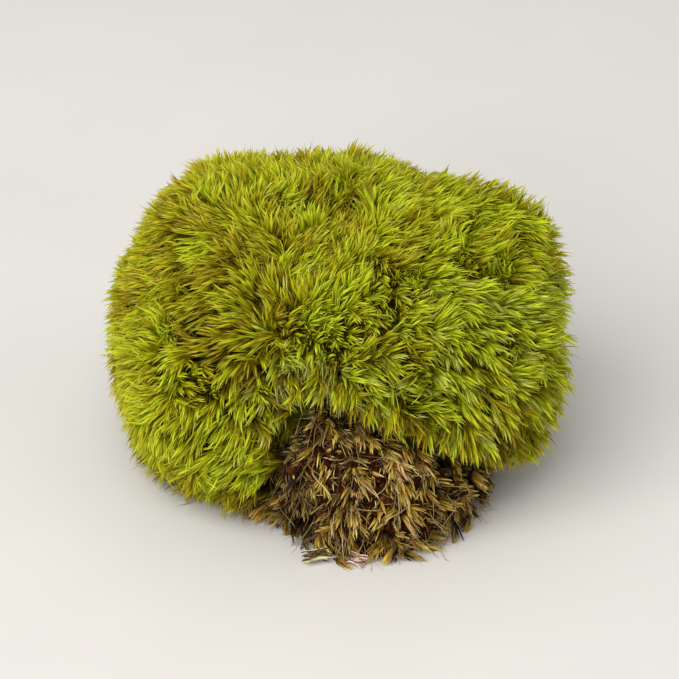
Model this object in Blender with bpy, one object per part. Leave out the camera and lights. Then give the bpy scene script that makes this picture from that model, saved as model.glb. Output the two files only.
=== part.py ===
"""A clump of cushion moss: a dome of green shoots grown over its own brown base.

The dome is widest at about half its height and tucks in below, where its edge hangs just clear
of the ground. At the front the green edge rises like a curtain, and the brown base of dead
shoots bulges out under it. Lengths are in millimetres until the meshes are made.
"""

import math
import random

import bmesh
import bpy
from mathutils import Matrix, Vector, noise

MM = 0.001

# Driving dimensions
TIP_HEIGHT = 61.0  # ground to the highest shoot tips
WIDEST_LEVEL = 28.0  # height at which the cushion reaches out furthest
DOME_FULLNESS = (0.82, 0.92)  # across and upwards: 1 is half an ellipse, less is squarer
CORE_HEIGHT = 43.0  # top of the domed core of the brown base, hidden under the green
CORE_REACH = 32.5  # of that core, all round
CORE_FULLNESS = (0.8, 0.9)
SEAM_GAP = 0.4  # between the green cushion and the base inside it
SEAM_RISE = 0.8  # from the green edge up to the crease where it meets the base
EVEN_SEAM = 30.0  # latitude on the core towards which that crease evens out further in
CLEFT_GAP = 2.6  # the same beside the steep cleft to the left of the brown patch
TUFT_DEPTH = 4.2  # dips between the tufts of green shoots
TUFT_DEPTH_SPREAD = (0.6, 1.1)  # the shallowest and deepest of those dips, as shares of it
DEAD_TUFT_DEPTH = 2.0  # dips between the shorter dead tufts
TUFT_LEAN = 1.6  # how far a tuft on the side hangs below where it is rooted
TUFT_STRAY = (-0.9, 0.5)  # how far tufts end inside or outside the even skin
DEAD_TUFT_STRAY = 0.9  # the same for the dead ones, which only end inside it
SKIRT_HEIGHT = 6.0  # least height from the green edge up to the widest level
HEM_RAGGED = 2.2  # how unevenly the tufts end along the green edge
HEM_WAVE = 6.0  # length of that unevenness along the edge
LOWEST_EDGE = 1.0  # where the green hangs lowest, just clear of the ground
TUFT_GROWTH = 30.0  # degrees above the edge at which the dips have their full depth
RAISED_SQUEEZE = 0.88  # how much smaller the tufts are just above a raised edge
LEAST_ROOM = 0.1  # share of a tuft's full size below which there is none
SCATTER = 0.3  # how far a tuft is rooted from its even place, in tuft spacings
TUFT_COUNT = 1352  # tuft places over the whole skin of the cushion, inside and out
DEAD_TUFT_COUNT = 3000  # the same over the base, if all of it were as dense as the patch
PLAIN_COUNT = 640  # the same away from the patch
FOOT_POINTS = 96  # corners of the flat cut
FOOT_CLEARANCE = 0.045  # on the unit sphere, from those corners to the next places above
SEAM_POINTS = 64  # corners of the crease where the edge of the green meets the base

# Bearings are degrees seen from above: 0 right, 90 back, -90 front, 180 left.
# bearing: (widest reach, height of the green edge, reach of the green edge)
PLAN = {
    -180: (48.0, 3.5, 41.5),
    -160: (47.5, 1.6, 40.5),
    -140: (46.5, 1.2, 36.5),
    -119: (45.0, 1.4, 35.5),
    -115: (44.7, 7.5, 38.5),
    -109: (44.5, 24.0, 41.5),
    -104: (44.5, 34.5, 43.5),
    -94: (45.0, 33.5, 44.5),
    -78: (46.0, 29.0, 45.5),
    -62: (47.5, 21.5, 46.5),
    -46: (49.0, 13.0, 45.5),
    -28: (49.5, 9.0, 44.5),
    -8: (48.2, 8.0, 42.0),
    12: (48.2, 6.5, 42.0),
    34: (47.8, 4.5, 42.5),
    60: (46.8, 3.5, 41.0),
    88: (46.0, 6.0, 40.0),
    116: (46.5, 4.5, 40.5),
    146: (47.0, 3.0, 41.0),
}

# Swellings and creases of the green: bearing, latitude and spread in degrees, height
SWELLINGS = (
    (-136.0, -4.0, 26.0, 3.2),  # left front lobe, down to the ground
    (-34.0, 4.0, 28.0, 1.6),  # right lobe, over the hollow
    (16.0, 30.0, 28.0, 2.2),  # high right shoulder
    (165.0, 55.0, 24.0, 4.0),  # left shoulder
    (178.0, 32.0, 18.0, -3.0),  # the slope below it
    (60.0, 72.0, 22.0, -1.6),  # the top, flatter than a dome
    (-100.0, 26.0, 17.0, -3.0),  # crease above the brown patch
    (-68.0, 40.0, 16.0, 1.8),  # hump beside that crease
    (118.0, 22.0, 24.0, 2.4),  # back lobe
    (84.0, 8.0, 13.0, -3.2),  # crease beside the back lobe
)
SWELL_NOISE = 3.0  # uneven growth over the whole dome
SWELL_NOISE_SIZE = 21.0  # width of that unevenness

# The brown patch, where the base bulges out under the raised edge.
# bearing: (reach on the ground, reach halfway up)
PATCH = {
    -116: (30.5, 32.5),
    -110: (32.5, 38.5),
    -103: (36.5, 43.5),
    -94: (44.0, 46.5),
    -82: (46.8, 47.5),
    -70: (46.5, 47.5),
    -58: (41.5, 45.0),
    -46: (37.5, 41.0),
    -34: (35.5, 36.5),
}
PATCH_FADE = 6.0  # degrees over which the bulge dies away at each side
PATCH_CLEARANCE = 2.8  # between the bulge and the green edge above it
PATCH_TUCK = 3.0  # how far the top of the bulge stays behind the green edge
PATCH_RIM = 7.0  # height above the bulge that is as finely faceted as the bulge
PATCH_LEDGE = 2.0  # height over which the bulge steps in to the core at its top

CLEFT_BEARING = -110.0  # the green edge drops steeply here, from the patch to the left lobe
CLEFT_SPREAD = 10.0

SKIRT_LATITUDE = -25.0  # of the green edge, on the sphere that is bent into the cushion
LEDGE_LATITUDE = -42.0  # where the underside of the edge meets the base

# Pale scraps at the foot: bearing, distance from the middle, length, width, thickness, lean, turn
SCRAPS = {
    "pale_scrap_left": (-95.0, 46.6, 5.4, 2.6, 0.8, 34.0, 24.0),
    "pale_scrap_right": (-86.5, 47.6, 4.2, 2.2, 0.7, 12.0, -38.0),
}


def smooth(value):
    """0 to 1 with level ends."""
    value = min(max(value, 0.0), 1.0)
    return value * value * (3.0 - 2.0 * value)


def blend(start, end, share):
    return start + (end - start) * share


def row_between(rows, below, above, bearing):
    share = (bearing - below) / (above - below)
    start = rows[below]
    end = rows.get(above, rows[min(rows)])
    return [blend(a, b, share) for a, b in zip(start, end)]


def plan_at(bearing):
    """The three plan values at a bearing, blended between the rows on each side."""
    bearing = (bearing + 180.0) % 360.0 - 180.0
    below = max(row for row in PLAN if row <= bearing)
    above = min((row for row in PLAN if row > bearing), default=180)
    reach, edge_height, edge_reach = row_between(PLAN, below, above, bearing)
    hem = HEM_RAGGED * noise.noise(at_bearing(bearing, edge_reach, 0.0) / HEM_WAVE)
    hem *= 1.0 - 0.7 * cleft_share(bearing)  # calmer where the edge is already steep
    return reach, max(edge_height + hem, LOWEST_EDGE), edge_reach


def patch_at(bearing):
    """The two patch reaches at a bearing inside the patch, and how much of the bulge is there."""
    bearing = (bearing + 180.0) % 360.0 - 180.0
    left = min(PATCH)
    right = max(PATCH)
    share = smooth((bearing - left) / PATCH_FADE) * smooth((right - bearing) / PATCH_FADE)
    inside = min(max(bearing, left), right - 0.001)
    below = max(row for row in PATCH if row <= inside)
    above = min(row for row in PATCH if row > inside)
    return row_between(PATCH, below, above, inside), share


def cleft_share(bearing):
    """1 at the steep cleft, 0 well away from it."""
    away = (bearing - CLEFT_BEARING + 180.0) % 360.0 - 180.0
    return math.exp(-((away / CLEFT_SPREAD) ** 2))


def tuft_room(bearing, latitude):
    """1 where tufts can have their full size, less just above a raised edge, and towards 0 low
    down beside the cleft."""
    raised = smooth(plan_at(bearing)[1] / WIDEST_LEVEL) * smooth(1.4 - latitude / 20.0)
    beside_cleft = cleft_share(bearing) * smooth(1.5 - latitude / 30.0)
    return (1.0 - RAISED_SQUEEZE * raised) * (1.0 - beside_cleft)


def direction(bearing, latitude):
    """Unit vector at a bearing and latitude in degrees."""
    turn = math.radians(bearing)
    rise = math.radians(latitude)
    return Vector((math.cos(turn) * math.cos(rise), math.sin(turn) * math.cos(rise), math.sin(rise)))


def at_bearing(bearing, reach, height):
    turn = math.radians(bearing)
    return Vector((math.cos(turn) * reach, math.sin(turn) * reach, height))


def swelling(bearing, latitude):
    """How far the green surface stands out from the plain dome here."""
    here = direction(bearing, latitude)
    total = 0.0
    for centre_bearing, centre_latitude, spread, height in SWELLINGS:
        away = math.degrees(here.angle(direction(centre_bearing, centre_latitude)))
        total += height * math.exp(-((away / spread) ** 2))
    return total


def growth_noise(place):
    return SWELL_NOISE * noise.noise(place / SWELL_NOISE_SIZE)


def core_profile(latitude):
    """Reach and height of the domed core of the base."""
    rise = math.radians(latitude)
    across, upwards = CORE_FULLNESS
    return CORE_REACH * math.cos(rise) ** across, CORE_HEIGHT * math.sin(rise) ** upwards


def core_latitude(height):
    """The latitude at which the core has this height."""
    share = min(max(height / CORE_HEIGHT, 0.0), 1.0)
    return math.degrees(math.asin(share ** (1.0 / CORE_FULLNESS[1])))


def green_skin(bearing, latitude):
    """A place on the outside of the green cushion, from its top down to its edge."""
    reach, edge_height, edge_reach = plan_at(bearing)
    widest = max(WIDEST_LEVEL, edge_height + SKIRT_HEIGHT)
    if latitude >= 0.0:
        rise = math.radians(latitude)
        across = reach * math.cos(rise) ** DOME_FULLNESS[0]
        height = widest + (TIP_HEIGHT - widest) * math.sin(rise) ** DOME_FULLNESS[1]
    else:
        down = latitude / SKIRT_LATITUDE
        across = blend(reach, edge_reach, down**2)
        height = blend(widest, edge_height, down)
    place = at_bearing(bearing, across, height)
    edge_fade = smooth((latitude - SKIRT_LATITUDE) / 12.0)
    out = direction(bearing, max(latitude, -10.0))
    return place + out * (swelling(bearing, latitude) + growth_noise(place)) * edge_fade


def seam_latitude(bearing):
    """Where on the core the underside of the green edge meets it, evened out along the edge."""
    nearby = [plan_at(bearing + side)[1] for side in (-7.0, -3.5, 0.0, 3.5, 7.0)]
    return core_latitude(sum(nearby) / len(nearby) + SEAM_RISE)


def green_underside(bearing, latitude):
    """A place on the underside of the green: in along its edge, then up over the core."""
    _, edge_height, edge_reach = plan_at(bearing)
    seam_start = seam_latitude(bearing)
    gap = blend(SEAM_GAP, CLEFT_GAP, cleft_share(bearing))
    if latitude > LEDGE_LATITUDE:
        share = (SKIRT_LATITUDE - latitude) / (SKIRT_LATITUDE - LEDGE_LATITUDE)
        core_reach, core_height = core_profile(seam_start)
        reach = blend(edge_reach, core_reach + gap, share)
        return at_bearing(bearing, reach, blend(edge_height, core_height, share))
    share = (latitude - LEDGE_LATITUDE) / (-90.0 - LEDGE_LATITUDE)
    rise = blend(blend(seam_start, EVEN_SEAM, share), 90.0, share)
    gap = blend(gap, SEAM_GAP, share**3)
    reach, height = core_profile(rise)
    outward = math.radians(rise)
    return at_bearing(bearing, reach + gap * math.cos(outward), height + gap * math.sin(outward))


def cushion_place(bearing, latitude):
    if latitude >= SKIRT_LATITUDE:
        return green_skin(bearing, latitude)
    return green_underside(bearing, latitude)


def patch_top(bearing):
    """Height at which the exposed part of the base ends, under the green edge."""
    nearby = [plan_at(bearing + side)[1] for side in (-5.0, -2.5, 0.0, 2.5)]
    return max(min(nearby) - PATCH_CLEARANCE, 0.6)


def bowed(low, middle, high, share):
    """A parabola through its values at the bottom (0), halfway up (0.5) and at the top (1)."""
    low_part = low * (1.0 - share) * (1.0 - 2.0 * share)
    middle_part = middle * 4.0 * share * (1.0 - share)
    return low_part + middle_part + high * share * (2.0 * share - 1.0)


def base_place(bearing, latitude):
    """A place on the brown base: its domed core, pushed out where the patch bulges."""
    _, _, edge_reach = plan_at(bearing)
    core_reach, height = core_profile(latitude)
    top = patch_top(bearing)
    (ground_reach, belly_reach), bulge = patch_at(bearing)
    bulge_reach = bowed(ground_reach, belly_reach, edge_reach - PATCH_TUCK, min(height / top, 1.0))
    out = max(bulge_reach - core_reach, 0.0) * bulge * smooth((top - height) / PATCH_LEDGE)
    return at_bearing(bearing, core_reach + out, height)


def in_patch(bearing, latitude):
    """True in and just around the bulging patch."""
    around = min(PATCH) - 4.0 < bearing < max(PATCH) + 4.0
    return around and core_profile(latitude)[1] < patch_top(bearing) + PATCH_RIM


def shows(bearing, latitude):
    """True where the base is seen below the green."""
    return core_profile(latitude)[1] < patch_top(bearing)


def bearing_and_latitude(point):
    latitude = math.degrees(math.asin(max(-1.0, min(1.0, point.z))))
    return math.degrees(math.atan2(point.y, point.x)), latitude


def scattered_points(count):
    """Points spread over a sphere, each a golden angle on from the last. Those that become the
    outside stray a little from their even places."""
    chance = random.Random(count)
    golden_turn = math.pi * (3.0 - math.sqrt(5.0))
    stray = SCATTER * math.sqrt(4.0 * math.pi / count)
    points = []
    for index in range(count):
        z = 1.0 - (2.0 * index + 1.0) / count
        ring = math.sqrt(1.0 - z * z)
        point = Vector((ring * math.cos(golden_turn * index), ring * math.sin(golden_turn * index), z))
        scatter = Vector([chance.uniform(-stray, stray) for _ in range(3)])
        if z > math.sin(math.radians(SKIRT_LATITUDE)):
            point = (point + scatter).normalized()
        points.append(point)
    return points


def ring_points(count, latitude):
    return [direction(360.0 * step / count, latitude) for step in range(count)]


def clear_of(points, latitude, margin):
    """The points that keep a margin in degrees to a ring at a latitude."""
    return [point for point in points if abs(bearing_and_latitude(point)[1] - latitude) > margin]


def hull_faces(points):
    """The triangles that join points on a sphere, as triples of their numbers."""
    bm = bmesh.new()
    for point in points:
        bm.verts.new(point)
    bm.verts.index_update()
    bmesh.ops.convex_hull(bm, input=bm.verts[:])
    bmesh.ops.triangulate(bm, faces=bm.faces[:])
    faces = [tuple(vert.index for vert in face.verts) for face in bm.faces]
    bm.free()
    return faces


def tufted_faces(faces, is_tufted, first_dip):
    """Faces that make a pointed tuft at each point: every tufted triangle gets a dip in its
    middle, and dips join across the edges between tufts. Returns the faces and, for each dip,
    the three tufts around it."""
    dips = {}
    for face in faces:
        if is_tufted(face):
            dips[face] = first_dip + len(dips)
    sides = {}
    for face in faces:
        for corner in range(3):
            sides[face[corner], face[(corner + 1) % 3]] = face
    made = [face for face in faces if face not in dips]
    for face, dip in dips.items():
        for corner in range(3):
            start = face[corner]
            end = face[(corner + 1) % 3]
            next_dip = dips.get(sides[end, start])
            made.append((start, end, dip) if next_dip is None else (start, next_dip, dip))
    return made, list(dips)


def mesh_object(name, places, faces, colour, roughness):
    """An object from places in millimetres, with its own plain material."""
    mesh = bpy.data.meshes.new(name)
    mesh.from_pydata([place * MM for place in places], [], faces)
    bm = bmesh.new()
    bm.from_mesh(mesh)
    bmesh.ops.recalc_face_normals(bm, faces=bm.faces[:])
    bm.to_mesh(mesh)
    bm.free()
    material = bpy.data.materials.new(name)
    material.use_nodes = True
    shader = material.node_tree.nodes["Principled BSDF"]
    shader.inputs["Base Color"].default_value = (*colour, 1.0)
    shader.inputs["Roughness"].default_value = roughness
    shader.inputs["Metallic"].default_value = 0.0
    mesh.materials.append(material)
    made = bpy.data.objects.new(name, mesh)
    bpy.context.collection.objects.link(made)
    return made


def make_green_cushion():
    """The dome of living shoots, hollow below, its outside a field of pointed tufts."""
    chance = random.Random(11)
    points = clear_of(scattered_points(TUFT_COUNT), LEDGE_LATITUDE, 2.5)
    points += ring_points(SEAM_POINTS, LEDGE_LATITUDE)
    spots = [bearing_and_latitude(point) for point in points]

    def is_tufted(face):
        outside = all(spots[number][1] > SKIRT_LATITUDE + 1.0 for number in face)
        return outside and all(tuft_room(*spots[number]) > LEAST_ROOM for number in face)

    faces, dips = tufted_faces(hull_faces(points), is_tufted, len(points))
    places = []
    for bearing, latitude in spots:
        place = cushion_place(bearing, latitude)
        if latitude > SKIRT_LATITUDE + 8.0:
            hang = TUFT_LEAN * math.cos(math.radians(latitude)) ** 2
            hang *= smooth((latitude - SKIRT_LATITUDE) / 20.0)
            room = tuft_room(bearing, latitude)
            place += direction(bearing, latitude) * chance.uniform(*TUFT_STRAY) * room
            place.z -= hang * chance.uniform(0.5, 1.0) * room
        places.append(place)
    for face in dips:
        middle = sum((points[number] for number in face), Vector()).normalized()
        bearing, latitude = bearing_and_latitude(middle)
        room = smooth((latitude - SKIRT_LATITUDE) / TUFT_GROWTH) * tuft_room(bearing, latitude) ** 2
        depth = TUFT_DEPTH * chance.uniform(*TUFT_DEPTH_SPREAD) * blend(LEAST_ROOM, 1.0, room)
        places.append(cushion_place(bearing, latitude) - direction(bearing, max(latitude, 0.0)) * depth)
    return mesh_object("green_cushion", places, faces, (0.20, 0.22, 0.012), 0.75)


def make_brown_base():
    """The base of dead shoots and humus, with a flat cut below and short tufts where it shows."""
    chance = random.Random(23)
    dense = [point for point in scattered_points(DEAD_TUFT_COUNT) if point.z > FOOT_CLEARANCE]
    plain = [point for point in scattered_points(PLAIN_COUNT) if point.z > FOOT_CLEARANCE]
    above = [point for point in dense if in_patch(*bearing_and_latitude(point))]
    above += [point for point in plain if not in_patch(*bearing_and_latitude(point))]
    points = ring_points(FOOT_POINTS, 0.0) + above
    spots = [bearing_and_latitude(point) for point in points]
    in_ring = range(FOOT_POINTS)
    skin = [face for face in hull_faces(points) if not all(number in in_ring for number in face)]
    cut_middle = len(points)
    cut = [((step + 1) % FOOT_POINTS, step, cut_middle) for step in in_ring]

    def is_tufted(face):
        if cut_middle in face:
            return False
        return all(number in in_ring or shows(*spots[number]) for number in face)

    faces, dips = tufted_faces(skin + cut, is_tufted, cut_middle + 1)
    places = []
    for number, (bearing, latitude) in enumerate(spots):
        place = base_place(bearing, latitude)
        if number not in in_ring and shows(bearing, latitude):
            place -= direction(bearing, 0.0) * chance.uniform(0.0, DEAD_TUFT_STRAY)
        places.append(place)
    places.append(Vector())
    for face in dips:
        middle = sum((points[number] for number in face), Vector()).normalized()
        bearing, latitude = bearing_and_latitude(middle)
        depth = DEAD_TUFT_DEPTH * chance.uniform(0.4, 1.0)
        places.append(base_place(bearing, latitude) - direction(bearing, 0.0) * depth)
    return mesh_object("brown_base", places, faces, (0.13, 0.075, 0.02), 0.9)


def make_scrap(name, bearing, distance, length, width, thickness, lean, turn):
    """A thin curled scrap of dead stem, standing on one edge against the foot of the patch."""
    bm = bmesh.new()
    bmesh.ops.create_cube(bm, size=1.0)
    bmesh.ops.subdivide_edges(bm, edges=bm.edges[:], cuts=3, use_grid_fill=True)
    for vert in bm.verts:
        along = 2.0 * vert.co.x
        taper = 1.0 - 0.45 * along**2
        curl = 0.35 * width * along**2
        across = vert.co.y * thickness * taper + curl
        vert.co = Vector((vert.co.x * length, across, vert.co.z * width * taper))
    mesh = bpy.data.meshes.new(name)
    bmesh.ops.triangulate(bm, faces=bm.faces[:])
    bm.to_mesh(mesh)
    bm.free()
    facing = Matrix.Rotation(math.radians(bearing + 90.0 + turn), 4, "Z")
    leaning = Matrix.Rotation(math.radians(-lean), 4, "X")
    mesh.transform(facing @ leaning)
    lowest = min(vert.co.z for vert in mesh.vertices)
    shift = at_bearing(bearing, distance, 0.25 - lowest)
    places = [vert.co + shift for vert in mesh.vertices]
    faces = [tuple(face.vertices) for face in mesh.polygons]
    bpy.data.meshes.remove(mesh)
    return mesh_object(name, places, faces, (0.47, 0.33, 0.25), 0.8)


def stand_in_the_middle(objects):
    """Move all the meshes so that the clump's box is centred on the origin and stands on the ground."""
    corners = [vert.co for made in objects for vert in made.data.vertices]
    lowest = Vector(min(corner[axis] for corner in corners) for axis in range(3))
    highest = Vector(max(corner[axis] for corner in corners) for axis in range(3))
    shift = Vector((-(lowest.x + highest.x) / 2.0, -(lowest.y + highest.y) / 2.0, -lowest.z))
    for made in objects:
        for vert in made.data.vertices:
            vert.co += shift
        made.data.update()


for old in list(bpy.data.objects):
    bpy.data.objects.remove(old, do_unlink=True)

clump = [make_green_cushion(), make_brown_base()]
for scrap_name, scrap in SCRAPS.items():
    clump.append(make_scrap(scrap_name, *scrap))
stand_in_the_middle(clump)
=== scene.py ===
# %% [markdown]
# # A clump of cushion moss
#
# The real clump is a dome of a few thousand moss shoots. Each shoot is a thin stem with curved
# leaves all round it, and together they have grown over a base of their own dead shoots and
# humus. The eye reads the single leaves, so this lesson makes every leaf as real mesh, and hangs
# them on the solid model that gives the clump its size. Lengths are in millimetres until a mesh
# is made.

# %% Load the solid model
import math

import bmesh
import bpy
import numpy as np
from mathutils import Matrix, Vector, noise
from mathutils.bvhtree import BVHTree
from mathutils.kdtree import KDTree


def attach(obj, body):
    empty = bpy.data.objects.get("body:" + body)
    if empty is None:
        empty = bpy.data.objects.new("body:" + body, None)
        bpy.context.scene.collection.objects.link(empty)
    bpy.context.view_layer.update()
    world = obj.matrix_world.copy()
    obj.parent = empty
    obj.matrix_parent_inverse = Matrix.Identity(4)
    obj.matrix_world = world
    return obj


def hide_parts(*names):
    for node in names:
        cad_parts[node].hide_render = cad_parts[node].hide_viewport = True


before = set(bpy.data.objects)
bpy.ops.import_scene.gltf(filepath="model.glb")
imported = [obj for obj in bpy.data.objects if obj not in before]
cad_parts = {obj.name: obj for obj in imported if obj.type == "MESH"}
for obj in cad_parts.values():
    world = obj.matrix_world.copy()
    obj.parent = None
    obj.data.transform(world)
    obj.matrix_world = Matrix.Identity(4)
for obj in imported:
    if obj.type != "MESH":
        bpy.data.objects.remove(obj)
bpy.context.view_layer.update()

MM = 0.001

# %% [markdown]
# ## The camera
#
# The clump lies on a table and is seen from in front and above. A long lens from a metre away
# keeps the near side from looking swollen, as it would in a close-up with a wide lens.

# %% Place the camera
VIEW_RISE = 28.0  # degrees above the table
VIEW_DISTANCE = 1100.0
VIEW_WIDTH = 136.0  # what the picture takes in, at the clump
AIM = Vector((0.0, -4.0, 28.0))  # the place in the middle of the picture

camera_data = bpy.data.cameras.new("camera")
camera_data.lens = camera_data.sensor_width * VIEW_DISTANCE / VIEW_WIDTH
camera = bpy.data.objects.new("camera", camera_data)
bpy.context.collection.objects.link(camera)
bpy.context.scene.camera = camera
rise = math.radians(VIEW_RISE)
back = Vector((0.0, -math.cos(rise), math.sin(rise)))
camera.location = (AIM + back * VIEW_DISTANCE) * MM
camera.rotation_euler = back.to_track_quat("Z", "Y").to_euler()
print("lens", round(camera_data.lens), "mm")

# %% [markdown]
# ## Colours and nodes
#
# Colours are picked as sRGB hex values, the way a paint program shows them, but a shader counts
# in linear light, so one function turns them over. Another adds a node with its settings and
# its links in one go, and the ones after it do so for the nodes that every material needs.

# %% Turn colours over and add nodes


def linear(hex_value):
    """The linear colour of an sRGB hex value."""
    parts = [int(hex_value[place:place + 2], 16) / 255.0 for place in (1, 3, 5)]
    # the sRGB standard: a straight line for the darkest shades, and a power for the others
    made = [part / 12.92 if part <= 0.04045 else ((part + 0.055) / 1.055) ** 2.4 for part in parts]
    return (*made, 1.0)


def add_node(material, kind, sockets=None, **settings):
    """Add a node. Settings are its properties. Sockets are its inputs' values or links."""
    tree = material.node_tree
    node = tree.nodes.new(kind)
    for name, value in settings.items():
        setattr(node, name, value)
    for name, value in (sockets or {}).items():
        if isinstance(value, bpy.types.NodeSocket):
            tree.links.new(value, node.inputs[name])
        else:
            node.inputs[name].default_value = value
    return node


# %% Add colours and surfaces


def add_ramp(material, value, stops):
    """The colour of a value on a ramp. Its stops are places and hex values."""
    node = add_node(material, "ShaderNodeValToRGB", {"Fac": value})
    elements = node.color_ramp.elements
    for number, (place, hex_value) in enumerate(stops):
        if number >= len(elements):
            elements.new(1.0)
        elements[number].position = place
        elements[number].color = linear(hex_value)
    return node.outputs["Color"]


def add_mix(material, share, first, second, way="MIX"):
    """Two colours mixed, with this share of the second."""
    sockets = {0: share, 6: first, 7: second}
    return add_node(material, "ShaderNodeMix", sockets, data_type="RGBA", blend_type=way).outputs[2]


def add_surface(material, colour, roughness, gloss, **more):
    """A surface that light doesn't pass through."""
    sockets = {"Base Color": colour, "Roughness": roughness, "Specular IOR Level": gloss, **more}
    return add_node(material, "ShaderNodeBsdfPrincipled", sockets).outputs["BSDF"]


# %% Begin and finish a material


def new_material(name):
    """A material with nothing in it but its output."""
    material = bpy.data.materials.new(name)
    material.use_nodes = True
    material.node_tree.nodes.clear()
    add_node(material, "ShaderNodeOutputMaterial")
    return material


def finish_material(material, shader):
    """Link a shader to the output."""
    output = material.node_tree.nodes["Material Output"]
    material.node_tree.links.new(shader, output.inputs["Surface"])
    return material


# %% [markdown]
# ## Light and table
#
# The photo's light is soft and comes from all round, so a pale world lights every side. One wide
# lamp, up at the left and in front, gives the shoots their shadows. The standard view keeps the
# yellow-green as strong as the shaders make it.
#
# The table is covered with pale card. Card is pressed from paper pulp, so it is matt, and faintly
# cloudy where the pulp lies thicker.

# %% Set the light
WORLD_LIGHT = 0.83
LAMP_POWER = 27.5  # watts
LAMP_SIZE = 1400.0
LAMP_PLACE = Vector((-500.0, -830.0, 860.0))
TABLE_SIZE = 9000.0
CARD_CLOUDS = 140.0  # to a metre, so that each is about 7 mm across

scene = bpy.context.scene
scene.view_settings.view_transform = "Standard"
world = bpy.data.worlds.new("soft_daylight")
scene.world = world
world.use_nodes = True
world.node_tree.nodes["Background"].inputs["Color"].default_value = linear("#f6f3f0")
world.node_tree.nodes["Background"].inputs["Strength"].default_value = WORLD_LIGHT

lamp_data = bpy.data.lights.new("wide_lamp", "AREA")
lamp_data.size = LAMP_SIZE * MM
lamp_data.energy = LAMP_POWER
lamp_data.color = (1.0, 0.98, 0.95)
lamp = bpy.data.objects.new("wide_lamp", lamp_data)
scene.collection.objects.link(lamp)
lamp.location = LAMP_PLACE * MM
lamp.rotation_euler = LAMP_PLACE.to_track_quat("Z", "Y").to_euler()

print("lamp", round(LAMP_PLACE.length), "mm away,", LAMP_SIZE, "mm wide")

# %% Lay the card on the table
card = new_material("pale_card")
clouds = add_node(card, "ShaderNodeTexNoise", {"Scale": CARD_CLOUDS, "Detail": 4.0})
card_colour = add_ramp(card, clouds.outputs["Fac"], [(0.3, "#c0bfbc"), (0.7, "#c4c3c0")])
finish_material(card, add_surface(card, card_colour, roughness=0.8, gloss=0.5))

table_mesh = bpy.data.meshes.new("table")
half = TABLE_SIZE * MM / 2.0
table_corners = [(-half, -half, 0.0), (half, -half, 0.0), (half, half, 0.0), (-half, half, 0.0)]
table_mesh.from_pydata(table_corners, [], [(0, 1, 2, 3)])
table_mesh.materials.append(card)
table = bpy.data.objects.new("table", table_mesh)
scene.collection.objects.link(table)
print("table of", card.name, round(2.0 * half, 1), "m wide")

# %% [markdown]
# ## The form that the shoots follow
#
# Shoots are rooted all over the clump, so we need places that are spread evenly over the solid
# model, with the direction that faces outwards at each. Rays from far outside towards the middle
# find the outermost surface in every direction.

# %% Cast rays at the solid model
MIDDLE = Vector((0.0, 0.0, 22.0))  # what all the rays aim at
FAR_OUT = 200.0  # where they start
ABOVE_ALL = 100.0  # a height that nothing of the clump reaches
GOLDEN_TURN = math.pi * (3.0 - math.sqrt(5.0))


def tree_of(node):
    """A node's faces in a search tree that rays can be cast against."""
    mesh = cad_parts[node].data
    corners = [vert.co / MM for vert in mesh.vertices]
    return BVHTree.FromPolygons(corners, [tuple(face.vertices) for face in mesh.polygons])


def even_ways(count):
    """Directions spread evenly, each a golden turn on from the last."""
    number = np.arange(count) + 0.5
    up = 1.0 - 2.0 * number / count
    ring = np.sqrt(1.0 - up * up)
    turn = GOLDEN_TURN * number
    return np.stack((ring * np.cos(turn), ring * np.sin(turn), up), axis=1)


def outermost(way, trees):
    """The outermost place in a direction from the middle, its normal, and which tree it is on."""
    start = MIDDLE + way * FAR_OUT
    hits = [tree.ray_cast(start, -way) for tree in trees]
    found = [(hit[3], number) for number, hit in enumerate(hits) if hit[0] is not None]
    if not found:
        return None
    number = min(found)[1]
    return hits[number][0], hits[number][1], number


# %% Find places all over it
RAY_COUNT = 42000

trees = [tree_of("green_cushion"), tree_of("brown_base")]
places = []
normals = []
is_brown = []
for way in even_ways(RAY_COUNT):
    place, normal, number = outermost(Vector(way), trees)
    places.append(place)
    normals.append(normal)
    is_brown.append(number == 1)
places = np.array(places)
normals = np.array(normals)
is_brown = np.array(is_brown)
print(len(places), "places,", int(is_brown.sum()), "of them on the brown base")

# %% [markdown]
# ## Places for the green shoots
#
# Plants that crowd each other end up some distance apart. So we go through the places in a random
# order, and each one that is kept strikes out its neighbours. A single face of the solid model may
# face anywhere, so a shoot's outward direction is the mean of the faces around it. The solid model
# spans the tips of the tufts, so the places between them are moved out to that level.

# %% Space places out


def search_tree(among):
    """Places in a tree that finds the nearest of them fast."""
    tree = KDTree(len(among))
    for number, place in enumerate(among):
        tree.insert(place, number)
    tree.balance()
    return tree


def spaced_out(candidates, spacing, seed):
    """Numbers of places that keep a distance to each other: one for all, or each its own."""
    spacing = np.broadcast_to(spacing, len(candidates))
    tree = search_tree(candidates)
    free = np.ones(len(candidates), bool)
    kept = []
    for number in np.random.default_rng(seed).permutation(len(candidates)):
        if free[number]:
            kept.append(number)
            for _, near, _ in tree.find_range(candidates[number], spacing[number]):
                free[near] = False
    return np.array(kept)


def outward(chosen, reach):
    """The mean outward direction within reach of each chosen place."""
    made = np.zeros((len(chosen), 3))
    some = slice(None, None, 5)  # every fifth place is enough
    for row, place in enumerate(chosen):
        share = np.exp(-((places[some] - place) ** 2).sum(axis=1) / (reach * reach))
        made[row] = (normals[some] * share[:, None]).sum(axis=0)
    return made / np.linalg.norm(made, axis=1)[:, None]


def unit(vectors):
    """The same directions with length 1."""
    return vectors / np.maximum(np.linalg.norm(vectors, axis=-1, keepdims=True), 1e-9)


# %% Make smooth noise
NOISE_GAIN = 1.6  # Blender's own noise stays within about 0.6 of zero
NOISE_SHIFT = (17.3, 5.1, 9.7)  # from one seed's noise to the next one's


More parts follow.
